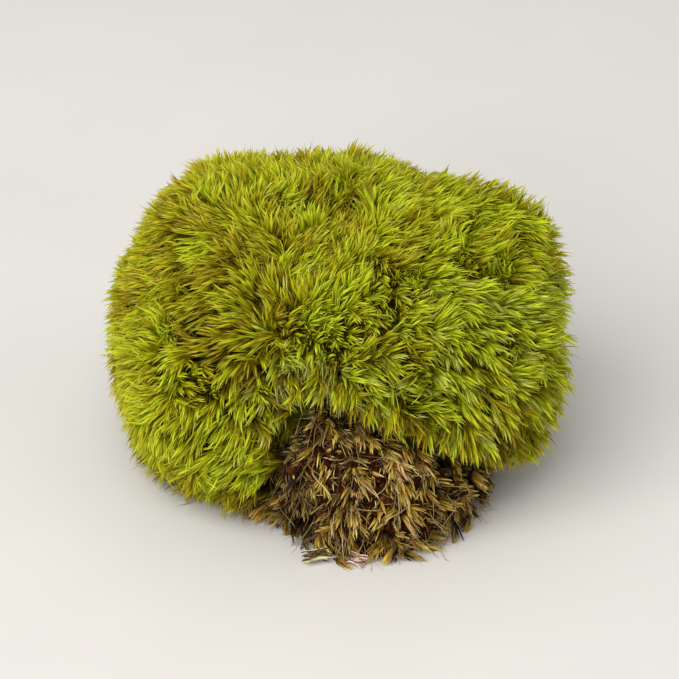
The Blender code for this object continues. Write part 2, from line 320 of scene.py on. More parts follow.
def noise_at(where, size, seed):
    """Smooth noise, about -1 to 1, whose lumps are of this size."""
    shift = Vector([seed * part for part in NOISE_SHIFT])
    return np.array([noise.noise(Vector(place) / size + shift) for place in where]) * NOISE_GAIN


def noise_ways(where, size, seed):
    """A smooth field of directions."""
    return np.stack([noise_at(where, size, seed + axis) for axis in range(3)], axis=1)


# %% Choose the places of the green shoots
TUFT_REACH = 3.5  # how far away the tips of the tufts are looked for
GREEN_SPACING = (1.9, 1.45)  # on the sides, and on the crown, where the shoots are finer
GREEN_LOWEST = 1.0
GREEN_REACH = 6.0  # over which an outward direction is taken


def out_to_tips(chosen, ways, among):
    """Places moved out to the level of the tuft tips around them."""
    tree = search_tree(among)
    moved = chosen.copy()
    for row, (place, way) in enumerate(zip(chosen, ways)):
        near = [number for _, number, _ in tree.find_range(place, TUFT_REACH)]
        moved[row] += way * ((among[near] - place) @ way).max()
    return moved


green_rows = np.flatnonzero(~is_brown & (places[:, 2] > GREEN_LOWEST))
crown_share = np.clip(unit(places[green_rows])[:, 2], 0.0, 1.0)
spacing = GREEN_SPACING[0] + (GREEN_SPACING[1] - GREEN_SPACING[0]) * crown_share
green_rows = green_rows[spaced_out(places[green_rows], spacing, 1)]
green_out = outward(places[green_rows], GREEN_REACH)
green_tips = out_to_tips(places[green_rows], green_out, places[~is_brown])
print(len(green_tips), "green shoots")

# %% [markdown]
# ## Tufts
#
# Shoots that sprang from one older stem stay together as a tuft. They lean apart a little, all
# sweep to one side, and leave a dark parting where the next tuft begins. The eye reads these
# tufts before it reads a single shoot, so each shoot is given to the nearest of some widely
# spaced tuft middles. Its offset from that middle says how far it leans out and how deep it ends.

# %% Gather shoots in tufts
TUFT_RADIUS = 0.6  # of the spacing of the tufts


def tufts_of(tips, spacing, seed):
    """The number of each shoot's tuft, and its offset from the tuft's middle in tuft radii."""
    middles = tips[spaced_out(tips, spacing, seed)]
    tree = search_tree(middles)
    number = np.array([tree.find(tip)[1] for tip in tips])
    return number, (tips - middles[number]) / (TUFT_RADIUS * spacing)


# %% Blend and turn directions


def blend(shares, *ways):
    """The direction of a sum of others, each with its share in it."""
    return unit(sum(share * way for share, way in zip(shares, ways)))


def turned(ways, about, angle):
    """Directions turned about others that are square to them, by angles in radians."""
    across = np.cross(about, ways)
    return ways * np.cos(angle)[:, None] + across * np.sin(angle)[:, None]


def fan_out(where, outs, middle, reach):
    """Directions along the surface away from a place, fading with the distance from it."""
    away = where - np.array(middle)
    away = away - outs * (away * outs).sum(axis=1)[:, None]
    return unit(away) * np.exp(-((np.linalg.norm(away, axis=1) / reach) ** 2))[:, None]


# %% Add up zones


def zone_sum(where, zones):
    """The sum of soft round zones, each a place, how far it reaches and how strong it is."""
    total = np.zeros(len(where))
    for place, reach, change in zones:
        away = np.linalg.norm(where - np.array(place), axis=1)
        total += change * np.exp(-((away / reach) ** 2))
    return total


# %% [markdown]
# ## One leaf
#
# A leaf of this moss is a narrow blade, about half a millimetre wide and five long, that tapers to
# a fine point and bends over to one side like a sickle. Seven triangles are enough for that.
# All leaves are worked out at once as rows of an array, because a loop over a hundred thousand
# leaves would take minutes.
#
# Every leaf also gets a place on a small colour chart, kept as its UV map. Across the chart the
# colour goes from old to fresh. Up the chart it goes from the foot of the leaf to its point.

# %% Build leaves as one mesh
LEAF_STEPS = np.array([0.0, 0.25, 0.52, 0.78, 1.0])  # along the leaf
LEAF_WIDTHS = np.array([0.6, 1.0, 0.85, 0.5, 0.0])  # at these steps, of its greatest width
LEAF_FACES = np.array([(0, 1, 3), (0, 3, 2), (2, 3, 5), (2, 5, 4), (4, 5, 7), (4, 7, 6), (6, 7, 8)])
CHART_STRIP = 0.008  # of the chart's width, for one leaf
CHART_TONES = (0.012, 0.988)  # the tones whose strips stay inside the chart
CHART_ENDS = (0.02, 0.98)  # how high on it a leaf's foot and point are


def blade_points(foot, start, end, length, face, width):
    """The corners of each leaf: a pair at each step, and the point. The leaf sets out in one
    direction and arrives in another."""
    corners = []
    for step, share in zip(LEAF_STEPS, LEAF_WIDTHS):
        along = start * (step - step * step / 2.0) + end * (step * step / 2.0)
        middle = foot + along * length[:, None]
        if share == 0.0:
            corners.append(middle)
            continue
        heading = start * (1.0 - step) + end * step
        side = unit(np.cross(heading, face)) * (width * share / 2.0)[:, None]
        corners += [middle - side, middle + side]
    return np.stack(corners, axis=1)


def chart_of(tone, sides, steps):
    """Chart places of the corners of each leaf or thread: across by tone, up along it. At each
    step there is a corner on every side, and at the last only the point."""
    across = np.append(np.tile(sides, len(steps) - 1), 0.0)
    up = np.append(np.repeat(steps[:-1], len(sides)), 1.0)
    chart = np.zeros((len(tone), len(up), 2))
    chart[:, :, 0] = np.clip(tone, *CHART_TONES)[:, None] + across * CHART_STRIP / 2.0
    chart[:, :, 1] = CHART_ENDS[0] + (CHART_ENDS[1] - CHART_ENDS[0]) * up
    return chart


# %% Make pieces of the clump


def add_piece(name, mesh, slot, *nodes):
    """A mesh as a piece of the clump, in the place of these nodes."""
    piece = bpy.data.objects.new(name, mesh)
    scene.collection.objects.link(piece)
    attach(piece, "root")
    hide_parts(*nodes)
    print(name, len(mesh.polygons), "faces")


def mesh_piece(name, points, faces, chart, material, slot, *nodes):
    """A piece from many small forms, in millimetres, that all have these same faces."""
    faces = faces + points.shape[1] * np.arange(len(points))[:, None, None]
    faces = faces.reshape(-1, 3)
    mesh = bpy.data.meshes.new(name)
    mesh.from_pydata(points.reshape(-1, 3) * MM, [], faces)
    mesh.polygons.foreach_set("use_smooth", np.ones(len(faces), bool))
    layer = mesh.uv_layers.new(name="OFBake")
    layer.data.foreach_set("uv", chart.reshape(-1, 2)[faces.ravel()].astype(np.float32).ravel())
    mesh.materials.append(material)
    add_piece(name, mesh, slot, *nodes)


def leaf_mesh(name, points, tone, material, slot, *nodes):
    """A piece that is nothing but leaves."""
    chart = chart_of(tone, (-1.0, 1.0), LEAF_STEPS)
    mesh_piece(name, points, LEAF_FACES, chart, material, slot, *nodes)


# %% [markdown]
# ## One shoot
#
# On a stem the leaves sit in a spiral, each a golden turn round from the last. The lowest spread
# widest, and the youngest stand up together as the shoot's tip. In this moss all the leaves of a
# shoot sweep to the same side, and neighbours sweep nearly the same way, which gives the clump
# its combed look. So each shoot gets an axis and a sweep, and its leaves bend from the one to
# the other.

# %% Say how far the leaves of a shoot may differ
TABLE_GAP = 0.15  # the lowest corners stay this far above the table
LEAF_TURN_STRAY = 0.25  # radians
LEAF_SPREAD_STRAY = 0.14
LEAF_FACE_STRAY = 0.45
LEAF_BENDS = (0.7, 1.2)  # least and most, of what the kind of shoot has
LEAF_LENGTHS = (0.75, 1.2)
LEAF_BREADTHS = (0.8, 1.25)


def across_of(axis):
    """Two directions square to each axis and to each other."""
    helper = np.where(np.abs(axis[:, 2:3]) < 0.9, (0.0, 0.0, 1.0), (1.0, 0.0, 0.0))
    first = unit(np.cross(axis, helper))
    return first, np.cross(axis, first)


# %% Grow the leaves of many shoots at once


def grow(tips, axis, sweep, tone, size, habit, seed):
    """Corners and tones of the leaves of shoots that end at these tips."""
    chance = np.random.default_rng(seed)
    shoots = len(tips)
    leaves = habit["leaves"]
    up = np.broadcast_to((np.arange(leaves) + 0.5) / leaves, (shoots, leaves))
    first, second = across_of(axis)
    turn = GOLDEN_TURN * np.arange(leaves)[None] + chance.uniform(0.0, 2.0 * math.pi, (shoots, 1))
    turn = turn + chance.normal(0.0, LEAF_TURN_STRAY, (shoots, leaves))
    round_stem = first[:, None] * np.cos(turn)[..., None] + second[:, None] * np.sin(turn)[..., None]
    stem_top = tips - axis * (habit["tip_length"] * size)[:, None]
    below = (1.0 - up)[..., None]  # how far down the stem, which is bowed
    bowed = axis[:, None] - habit["bow"] * below * sweep[:, None]
    foot = stem_top[:, None] - habit["depth"] * below * bowed
    spread = habit["spread_low"] + (habit["spread_top"] - habit["spread_low"]) * up
    spread = np.radians(spread) + chance.normal(0.0, LEAF_SPREAD_STRAY, (shoots, leaves))
    start = axis[:, None] * np.cos(spread)[..., None] + round_stem * np.sin(spread)[..., None]
    bend = habit["bend"] * chance.uniform(*LEAF_BENDS, (shoots, leaves))
    end = unit(start * (1.0 - bend)[..., None] + sweep[:, None] * bend[..., None])
    length = habit["length"] * size[:, None] * chance.uniform(*LEAF_LENGTHS, (shoots, leaves))
    width = habit["width"] * chance.uniform(*LEAF_BREADTHS, (shoots, leaves))
    face = unit(axis[:, None] + chance.normal(0.0, LEAF_FACE_STRAY, (shoots, leaves, 3)))
    leaf_tone = tone[:, None] + chance.normal(0.0, habit["tone_spread"], (shoots, leaves))
    # lower leaves darker in tone: partly older, partly painted shade
    leaf_tone = leaf_tone - habit["age_and_shade"] * (1.0 - up) ** 2
    flat = (shoots * leaves, 3)
    points = blade_points(
        foot.reshape(flat), start.reshape(flat), end.reshape(flat), length.ravel(),
        face.reshape(flat), width.ravel()
    )
    points[..., 2] = np.maximum(points[..., 2], TABLE_GAP)
    return points, leaf_tone.ravel()


# %% [markdown]
# ## Living leaves
#
# A living moss leaf is thin and a little waxy. Light goes through it, so a leaf lit from behind
# glows yellow-green, and its surface has only a faint gloss. The chart goes from the brown of
# dead leaves over golden olive and fresh yellow-green to the straw of dry ones. A streak pattern
# lies so densely across the chart that neighbours differ, as leaves of different age do.

# %% Make a leaf material
STREAK_STRETCH = (220.0, 2.2, 1.0)  # streaks over the chart: across it and up it
DRY_FROM = 0.6  # where along a leaf its dry point begins


def leaf_material(name, tones, along, streaks, point, glow, roughness, gloss):
    """A leaf from its chart: tones across, a darker foot along it, and how much of a dry colour
    its point has."""
    material = new_material(name)
    chart = add_node(material, "ShaderNodeUVMap", uv_map="OFBake")
    place = add_node(material, "ShaderNodeSeparateXYZ", {"Vector": chart.outputs["UV"]})
    tone = add_ramp(material, place.outputs["X"], tones)
    shaded = add_mix(material, 1.0, tone, add_ramp(material, place.outputs["Y"], along), "MULTIPLY")
    stretched = add_node(
        material, "ShaderNodeVectorMath", {0: chart.outputs["UV"], 1: STREAK_STRETCH},
        operation="MULTIPLY"
    )
    streaky = add_node(
        material, "ShaderNodeTexNoise",
        {"Vector": stretched.outputs["Vector"], "Scale": 1.0, "Detail": 2.0}
    )
    streak = add_ramp(material, streaky.outputs["Fac"], streaks)
    streaked = add_mix(material, 1.0, shaded, streak, "MULTIPLY")
    dryness = add_node(
        material, "ShaderNodeMapRange",
        {"Value": place.outputs["Y"], "From Min": DRY_FROM, "From Max": 1.0, "To Max": point[1]}
    )
    colour = add_mix(material, dryness.outputs["Result"], streaked, linear(point[0]))
    surface = add_surface(material, colour, roughness, gloss)
    through = add_node(material, "ShaderNodeBsdfTranslucent", {"Color": colour})
    both = add_node(
        material, "ShaderNodeMixShader", {"Fac": glow, 1: surface, 2: through.outputs["BSDF"]}
    )
    print("material", name, "with", len(tones), "tones")
    return finish_material(material, both.outputs["Shader"])


# %% Mix the living leaf's colours
living_leaf = leaf_material(
    "living_moss_leaf",
    tones=[
        (0.0, "#40360a"),
        (0.14, "#6e6010"),
        (0.28, "#b09a16"),
        (0.42, "#d0c018"),
        (0.53, "#d6da1c"),
        (0.66, "#dcec2e"),
        (0.76, "#d0e246"),
        (0.88, "#e2e474"),
        (1.0, "#b8b26c"),
    ],
    # the foot of each leaf darker: partly older, partly painted shade from the leaves above
    along=[(0.0, "#606038"), (0.4, "#d4d4a0"), (0.75, "#f8f8d0"), (1.0, "#ffffff")],
    streaks=[(0.3, "#8c8c80"), (0.6, "#ffffff")],
    point=("#eeeab4", 0.1),
    glow=0.45,
    roughness=0.42,
    gloss=0.06,
)

# %% [markdown]
# ## The green dome
#
# The shoots stand square to the dome and lean down its side, so the leaves flow outwards from
# the crown like combed hair. At the left front a lobe of them sweeps down to the table.
#
# No clump is the same all over. Lists of soft round zones say where it is golden, lemon or in
# shade, and where creases part it. A zone is a place, how far it reaches and how strong it is.

# %% Describe the green shoots
GREEN_HABIT = {
    "leaves": 20,
    "tip_length": 3.6,  # from the top of the stem to the shoot's tip
    "depth": 5.2,  # of the stretch of stem with leaves
    "spread_low": 27.0,  # degrees from the stem, of the lowest leaves
    "spread_top": 4.0,
    "bend": 0.65,  # how much of a leaf's direction turns into the sweep
    "bow": 0.3,  # of the stem
    "length": 5.2,
    "width": 0.5,
    "tone_spread": 0.025,
    "age_and_shade": 0.46,  # how much darker in tone the lowest leaves are: partly older, partly painted shade
}
GREEN_TONE = 0.53
GREEN_ZONES = [
    ((-38.0, 4.0, 48.0), 16.0, -0.09),  # golden left flank
    ((-27.0, -20.0, 48.0), 9.0, -0.07),
    ((-28.0, -34.0, 22.0), 13.0, 0.09),  # lemon left front lobe
    ((-38.0, -16.0, 36.0), 12.0, 0.06),
    ((-15.5, -39.5, 29.0), 6.0, -0.26),  # shaded side of the lobe, in the cleft
    ((-16.8, -33.0, 6.0), 4.5, -0.2),
    ((36.0, -22.0, 40.0), 26.0, 0.12),  # fresher right side
    ((12.0, 0.0, 58.0), 22.0, 0.06),
    ((19.0, -40.0, 40.0), 13.0, 0.1),
    ((0.0, -36.0, 46.0), 14.0, 0.08),  # lighter shoots down the front
    ((-8.0, -40.5, 37.5), 6.5, 0.2),
    ((9.6, -41.0, 44.5), 4.0, -0.26),  # shade in the crease down the front
    ((36.0, -30.0, 18.0), 7.0, -0.22),  # shaded low right side
]
PARTINGS = [  # how deep the tips lie there. Where the number is negative, they stand out
    ((9.0, -39.0, 47.0), 3.6, 5.0),  # the crease that runs down the front
    ((9.6, -42.5, 43.0), 3.6, 6.0),
    ((9.6, -31.0, 54.0), 4.0, -1.4),  # a swelling above it
    ((-4.0, -28.0, 54.8), 6.0, 2.4),  # a shallow dip on the front shoulder
    ((0.0, -7.0, 58.0), 8.0, 1.4),  # and on the crown
    ((-29.0, -32.0, 36.0), 7.0, -2.2),  # the swollen left front lobe
    ((-2.5, -36.5, 48.5), 4.0, -1.2),
    ((-6.0, -31.0, 52.5), 3.0, 1.5),
    ((-13.0, -37.0, 42.0), 3.4, 4.4),  # between the dome and the left front lobe
    ((-20.0, -31.0, 47.0), 3.0, 3.6),
    ((-27.0, -29.0, 47.0), 3.2, 3.2),
    ((30.5, -36.6, 31.7), 3.6, 3.4),  # between the dome and the low right side
    ((24.0, -30.0, 44.0), 3.0, 2.6),
]

# %% [markdown]
# ## Aiming the shoots
#
# Four things bend a shoot away from straight out. It leans down the slope, its tuft turns it one
# way, it leans out from the middle of its tuft, and each shoot strays a little by itself. Near the
# brown patch the shoots are dying, and there they stray twice as far.

# %% Find the shoots that are dying along the brown patch
EDGE_REACH = (8.0, 19.0)  # from the brown patch: all are dying up to the first, none from the second
EDGE_LOWEST = 18.0  # the left front lobe stays fresh down to the table
EDGE_RISE = 10.0  # over which this passes
EDGE_RIGHT = 18.0  # and towards the right fewer of the shoots are dying
EDGE_FADE = 12.0  # over which this passes
EDGE_LEAST = 0.3

brown_tree = search_tree(places[is_brown])
from_patch = np.array([brown_tree.find(tip)[2] for tip in green_tips])
at_edge = np.clip((EDGE_REACH[1] - from_patch) / (EDGE_REACH[1] - EDGE_REACH[0]), 0.0, 1.0)
at_edge = at_edge * np.clip((green_tips[:, 2] - EDGE_LOWEST) / EDGE_RISE, 0.0, 1.0)
at_edge = at_edge * np.clip((EDGE_RIGHT - green_tips[:, 0]) / EDGE_FADE, EDGE_LEAST, 1.0)
print(int((at_edge > 0.5).sum()), "shoots are dying")

# %% Aim the shoots
TUFT_SPACING = 6.0
TUFT_TURN = 0.75  # radians
LOBE_FAN = ((-14.0, -34.0, 46.0), 24.0)  # where the left front lobe's shoots spread from
FLOW_SHARES = (0.25, 0.9)  # of swirls, and of the lobe's fan, beside the slope's own
SWIRL_SIZE = 12.0
LEVEL_STEEPNESS = 0.3  # what even the flat crown counts as
LEAN = (0.15, 0.5)  # down the flow: on level ground, and on the steepest sides
TUFT_LEAN = 0.12  # out from the middle of the tuft
BUMP_LEAN = 0.2
BUMP_SIZE = 9.0
SWEEP_SHARES = (0.3, 1.0, 0.4, 1.5)  # of outwards, the flow, waves and the shoot's own stray
WAVE_SIZE = 7.0
SHOOT_STRAY = 0.18

down = np.array((0.0, 0.0, -1.0))
chance = np.random.default_rng(9)  # later cells draw from it too
steepness = np.clip(1.0 + LEVEL_STEEPNESS - green_out[:, 2], 0.0, 1.0)[:, None]
flow = down - green_out * (green_out @ down)[:, None]
swirl = np.cross(green_out, noise_ways(green_tips, SWIRL_SIZE, 12))
flow = blend((steepness, *FLOW_SHARES), flow, swirl, fan_out(green_tips, green_out, *LOBE_FAN))
tuft, offset = tufts_of(green_tips, TUFT_SPACING, 4)
flow = turned(flow, green_out, chance.normal(0.0, TUFT_TURN, tuft.max() + 1)[tuft])
stray = chance.normal(0.0, SHOOT_STRAY, green_tips.shape) * (1.0 + at_edge)[:, None]
lean = LEAN[0] + (LEAN[1] - LEAN[0]) * steepness
bumps = noise_ways(green_tips, BUMP_SIZE, 3)
green_axis = blend((1.0, lean, TUFT_LEAN, BUMP_LEAN, 1.0), green_out, flow, offset, bumps, stray)
green_sweep = blend(SWEEP_SHARES, green_out, flow, noise_ways(green_tips, WAVE_SIZE, 8), stray)
print(tuft.max() + 1, "tufts")

# %% Set how deep the shoots end
TUFT_DIP = (0.3, 1.0)  # how much deeper they end at a tuft's rim: on the crown, and on the sides
UNEVEN = (0.5, 1.0)  # how unevenly they end: on the crown, and on the sides
DIP_SIDES = (-40.0, 40.0)  # from the smooth left to the right, where the tufts stand apart
DIP_SHARES = (0.25, 1.45)  # of these dips, there
EDGE_DIP = 2.0  # how deep some of the dying shoots end

slope = steepness[:, 0]
rim = (offset ** 2).sum(axis=1)
pulled_in = (TUFT_DIP[0] + (TUFT_DIP[1] - TUFT_DIP[0]) * slope) * rim
uneven = np.abs(chance.normal(0.0, 1.0, len(green_tips)))
pulled_in = pulled_in + uneven * (UNEVEN[0] + (UNEVEN[1] - UNEVEN[0]) * slope)
pulled_in = pulled_in * np.interp(green_tips[:, 0], DIP_SIDES, DIP_SHARES)
parting = zone_sum(green_tips, PARTINGS)
edge_dip = EDGE_DIP * at_edge * chance.uniform(0.0, 1.0, len(green_tips)) ** 2
pulled_in = pulled_in + parting + edge_dip
print("tips end up to", round(pulled_in.max(), 1), "mm deeper")

# %% Let some shoots dry at the tip
PALE_TONE = 0.86
PALE_TONES = 0.05
PALE_SHARE = 0.18  # how many of the shoots that is, low on the front and the right
PALE_SIDES = (-25.0, -8.0)  # none left of the first, and all of the share right of the second
PALE_RISES = (38.0, 54.0)  # all of the share up to the first, and only PALE_LEAST of it above
PALE_LEAST = 0.1
PALE_REACH = 0.5  # how much further out these shoots end

pale_chance = np.random.default_rng(12)
pale_share = np.interp(green_tips[:, 0], PALE_SIDES, (0.0, PALE_SHARE))
pale_share = pale_share * np.interp(green_tips[:, 2], PALE_RISES, (1.0, PALE_LEAST))
is_pale = pale_chance.uniform(size=len(green_tips)) < pale_share
green_tips = green_tips - green_out * (pulled_in - PALE_REACH * is_pale)[:, None]
print(int(is_pale.sum()), "shoots are dry at the tip")

# %% Give the shoots their tones and sizes
TONE_MOTTLE = 0.06  # of wide patches
TONE_PATCH = 13.0  # their width
SHOOT_TONES = 0.06  # how far single shoots stray in tone
TUFT_TONES = 0.04  # and whole tufts
RIM_SHADE = 0.02  # painted shade: how much darker in tone the shoots at a tuft's rim are
PARTING_SHADE = 0.03  # and painted shade on those a millimetre down in a crease
OLDEST_TONE = 0.32  # of the shoots that stand in full light
EDGE_TONES = (0.45, 0.36, 0.27, 0.16, -0.4)  # dying shoots fade to grey-olive, or are dead
SIZE_MOTTLE = 0.12
SIZE_PATCH = 14.0
SHOOT_SIZES = 0.08
EDGE_SIZE = 0.2  # how much longer the leaves of dying shoots are

count = len(green_tips)
green_tone = GREEN_TONE + zone_sum(green_tips, GREEN_ZONES)
green_tone = green_tone + TONE_MOTTLE * noise_at(green_tips, TONE_PATCH, 21)
# darker at tuft rims and in creases: painted shade
green_tone = green_tone + chance.normal(0.0, SHOOT_TONES, count) - RIM_SHADE * rim
green_tone = green_tone + chance.normal(0.0, TUFT_TONES, tuft.max() + 1)[tuft] - PARTING_SHADE * parting
green_tone = np.maximum(green_tone, OLDEST_TONE)
green_tone = np.where(is_pale, pale_chance.normal(PALE_TONE, PALE_TONES, count), green_tone)
green_tone = green_tone + at_edge * chance.choice(EDGE_TONES, count)
green_size = 1.0 + SIZE_MOTTLE * noise_at(green_tips, SIZE_PATCH, 33)
green_size = green_size + chance.normal(0.0, SHOOT_SIZES, count)
green_size = green_size + EDGE_SIZE * at_edge
print("tones from", round(green_tone.min(), 2), "to", round(green_tone.max(), 2))

# %% Grow the green shoots
CROWN_RADIUS = 22.0  # of the part of the leaves that is a piece of its own

green_points, leaf_tone = grow(
    green_tips, green_axis, green_sweep, green_tone, green_size, GREEN_HABIT, 5
)
leaf_x = green_points[:, 0, 0]
leaf_y = green_points[:, 0, 1]
on_crown = np.hypot(leaf_x, leaf_y) < CROWN_RADIUS
parts = {
    "green_shoots_crown": on_crown,
    "green_shoots_front_left": ~on_crown & (leaf_x < 0.0) & (leaf_y < 0.0),
    "green_shoots_front_right": ~on_crown & (leaf_x >= 0.0) & (leaf_y < 0.0),
    "green_shoots_back_left": ~on_crown & (leaf_x < 0.0) & (leaf_y >= 0.0),
    "green_shoots_back_right": ~on_crown & (leaf_x >= 0.0) & (leaf_y >= 0.0),
}
for name, part in parts.items():
    leaf_mesh(name, green_points[part], leaf_tone[part], living_leaf, "green_shoots", "green_cushion")

# %% [markdown]
# ## Under the edge
#
# The edge of the clump doesn't end in a clean line. Weak shoots that got little light hang from
# its underside, and they also line the steep side of the cleft beside the brown patch. The rays
# that found the outside miss these places, so this time they are scattered over the faces of the
# solid that look away from the light.

# %% Scatter places on chosen faces


def scatter_on(node, is_wanted, count, seed):
    """Places on the faces of a node, with the normal at each."""
    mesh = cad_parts[node].data
    faces = [face for face in mesh.polygons if is_wanted(face)]
    areas = np.array([face.area for face in faces])
    chance = np.random.default_rng(seed)
    picked = chance.choice(len(faces), count, p=areas / areas.sum())
    corners = [[mesh.vertices[number].co / MM for number in faces[pick].vertices] for pick in picked]
    shares = chance.dirichlet((1.0, 1.0, 1.0), count)
    found = (np.array(corners) * shares[:, :, None]).sum(axis=1)
    return found, np.array([faces[pick].normal for pick in picked])


# %% Find the edge of the green
HEM_RADIUS = 35.0  # from the middle axis: nearer faces are the hidden hollow
HEM_SECTOR = 7.5  # degrees of the compass over which the edge's height is taken


def sector_of(x, y):
    """Which sector of the compass a place is in, seen from above."""
    return int((math.degrees(math.atan2(y, x)) % 360.0) / HEM_SECTOR)


edge_height = np.full(int(360.0 / HEM_SECTOR), ABOVE_ALL)
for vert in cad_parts["green_cushion"].data.vertices:
    x, y, z = vert.co / MM
    if math.hypot(x, y) > HEM_RADIUS:
        sector = sector_of(x, y)
        edge_height[sector] = min(edge_height[sector], z)
print("edge of the green from", round(edge_height.min(), 1), "to", round(edge_height.max(), 1), "mm up")

# %% Describe the shoots under the edge
HEM_COUNT = 1500
HEM_SPACING = 2.0
HEM_LOWEST = 1.5
HEM_RISE = 4.0  # how far above the edge these shoots still grow
HEM_FACING = 0.2  # how far up the faces that they grow on may look
HEM_AXIS = (0.6, 0.5, 0.5, 1.0)  # of away from the face, outwards, down and stray
HEM_SWEEP = (0.4, 0.8, 0.5, 1.0)  # of outwards, down, waves and stray
HEM_WAVE = 6.0  # their size
HEM_STRAY = 0.2
HEM_TONE = 0.42  # older than the shoots in full light, and darker still as painted shade under the edge
HEM_TONES = 0.1
HEM_SIZES = (0.8, 1.2)
HEM_HABIT = dict(GREEN_HABIT, leaves=14, tip_length=3.4, spread_low=38.0, length=5.0, age_and_shade=0.3)

# %% Grow the shoots under the edge


def is_under_edge(face):
    """True for faces just above the edge that don't look up."""
    x, y, z = face.center / MM
    near = math.hypot(x, y) > HEM_RADIUS and z > HEM_LOWEST
    return near and face.normal.z < HEM_FACING and z < edge_height[sector_of(x, y)] + HEM_RISE


hem_places, hem_normals = scatter_on("green_cushion", is_under_edge, HEM_COUNT, 17)
rows = spaced_out(hem_places, HEM_SPACING, 18)
hem_tips = hem_places[rows] + hem_normals[rows]
hem_out = unit(hem_tips * (1.0, 1.0, 0.0))
print(len(hem_tips), "shoots under the edge")
hem_stray = chance.normal(0.0, HEM_STRAY, hem_tips.shape)
hem_axis = blend(HEM_AXIS, hem_normals[rows], hem_out, down, hem_stray)
hem_sweep = blend(HEM_SWEEP, hem_out, down, noise_ways(hem_tips, HEM_WAVE, 61), hem_stray)
hem_tone = HEM_TONE + zone_sum(hem_tips, GREEN_ZONES)
hem_tone = hem_tone + chance.normal(0.0, HEM_TONES, len(hem_tips))
hem_size = chance.uniform(*HEM_SIZES, len(hem_tips))
hem_points, hem_leaf_tone = grow(hem_tips, hem_axis, hem_sweep, hem_tone, hem_size, HEM_HABIT, 19)
leaf_mesh(
    "green_shoots_under_edge", hem_points, hem_leaf_tone, living_leaf, "green_shoots", "green_cushion"
)

# %% [markdown]
# ## The dark inside
#
# Between the shoots the eye looks down on old brown stems in deep shade. One closed body, a
# little smaller than the clump, stands for them. Its corners are found with the same rays,
# smoothed, and pulled in by the length of the leafy part. Old stems are dull and without any
# gloss. Their colour is a dark brown with a hint of olive: partly their own, partly painted shade.

# %% Make the mass of old stems
STEM_INSET = 7.2
STEM_ROUGH = 1.0
STEM_LUMP = 5.0
STEM_LOWEST = 0.6
STEM_SMOOTHINGS = 6

bpy.ops.mesh.primitive_ico_sphere_add(subdivisions=5, radius=1.0)
old_stems = bpy.context.object
old_stems.name = "old_stems"
old_stems.data.uv_layers[0].name = "OFBake"
stem_ways = np.array([vert.co for vert in old_stems.data.vertices])
stem_reach = np.array([(outermost(Vector(way), trees)[0] - MIDDLE).length for way in stem_ways])
ends = np.array([edge.vertices for edge in old_stems.data.edges])
for _ in range(STEM_SMOOTHINGS):
    total = np.zeros(len(stem_reach))
    count = np.zeros(len(stem_reach))
    for here, there in ((0, 1), (1, 0)):
        np.add.at(total, ends[:, here], stem_reach[ends[:, there]])
        np.add.at(count, ends[:, here], 1.0)
    stem_reach = 0.5 * stem_reach + 0.5 * total / count
stem_lumps = noise_at(stem_ways * stem_reach[:, None], STEM_LUMP, 90)
stem_reach = stem_reach - STEM_INSET + STEM_ROUGH * stem_lumps
stem_places = np.array(MIDDLE) + stem_ways * stem_reach[:, None]
stem_places[:, 2] = np.maximum(stem_places[:, 2], STEM_LOWEST)
old_stems.data.vertices.foreach_set("co", (stem_places * MM).ravel())
old_stems.data.update()
print("old stems reach", round(stem_reach.min(), 1), "to", round(stem_reach.max(), 1), "mm out")

# %% Colour the old stems
STEM_SPECKS = 700.0  # to a metre, so that each is about 1.4 mm across

brown_stem = new_material("old_moss_stems")
stem_noise = add_node(brown_stem, "ShaderNodeTexNoise", {"Scale": STEM_SPECKS, "Detail": 5.0})
# dark brown and olive: the stems' own colour, darkened as painted shade
stem_and_shade_colour = add_ramp(brown_stem, stem_noise.outputs["Fac"], [(0.3, "#2c2a08"), (0.7, "#5c5a14")])
finish_material(brown_stem, add_surface(brown_stem, stem_and_shade_colour, roughness=0.9, gloss=0.1))
old_stems.data.materials.append(brown_stem)
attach(old_stems, "root")
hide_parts("green_cushion")
print(old_stems.name, len(old_stems.data.polygons), "faces")

# %% [markdown]
# ## The brown base
#
# Where the living green ends, last year's shoots hang dead over a felt of humus. The felt is the
# solid model's own base: its faces are divided finer, smoothed, and then pushed in and out by two
# noises, one for the crumbs and one for the matted stems that run down through it. Its flat cut
# stays flat, because the clump rests on it.

# %% Divide the base finer
FELT_CUTS = 3  # new corners along each edge
CUT_HEIGHT = 0.1 * MM  # corners up to here are in the flat cut

felt_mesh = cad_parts["brown_base"].data.copy()
felt_mesh.name = "humus_felt"
felt_mesh.materials.clear()
while felt_mesh.uv_layers:
    felt_mesh.uv_layers.remove(felt_mesh.uv_layers[0])
felt_form = bmesh.new()
felt_form.from_mesh(felt_mesh)
bmesh.ops.remove_doubles(felt_form, verts=felt_form.verts[:], dist=0.00001)
bmesh.ops.subdivide_edges(felt_form, edges=felt_form.edges[:], cuts=FELT_CUTS, use_grid_fill=True)
bmesh.ops.smooth_vert(
    felt_form, verts=[vert for vert in felt_form.verts if vert.co.z > CUT_HEIGHT], factor=0.5,
    use_axis_x=True, use_axis_y=True, use_axis_z=True
)
felt_form.normal_update()
print("base in", len(felt_form.verts), "corners")

# %% Roughen it to felt
FELT_INSET = 2.4
FELT_ROUGH = 0.9
FELT_LUMP = 2.6
FELT_CORD = 0.5  # the height of the matted stems
FELT_CORD_PITCH = 1.2  # from one of them to the next
FELT_CORD_RUN = 0.3  # they run this steeply: how little changes downwards
CUT_SHARE = 0.94  # of the cut, so that the dead shoots at the foot hide its edge
CUT_GAP = 0.02 * MM  # all corners outside the cut stay this far above it

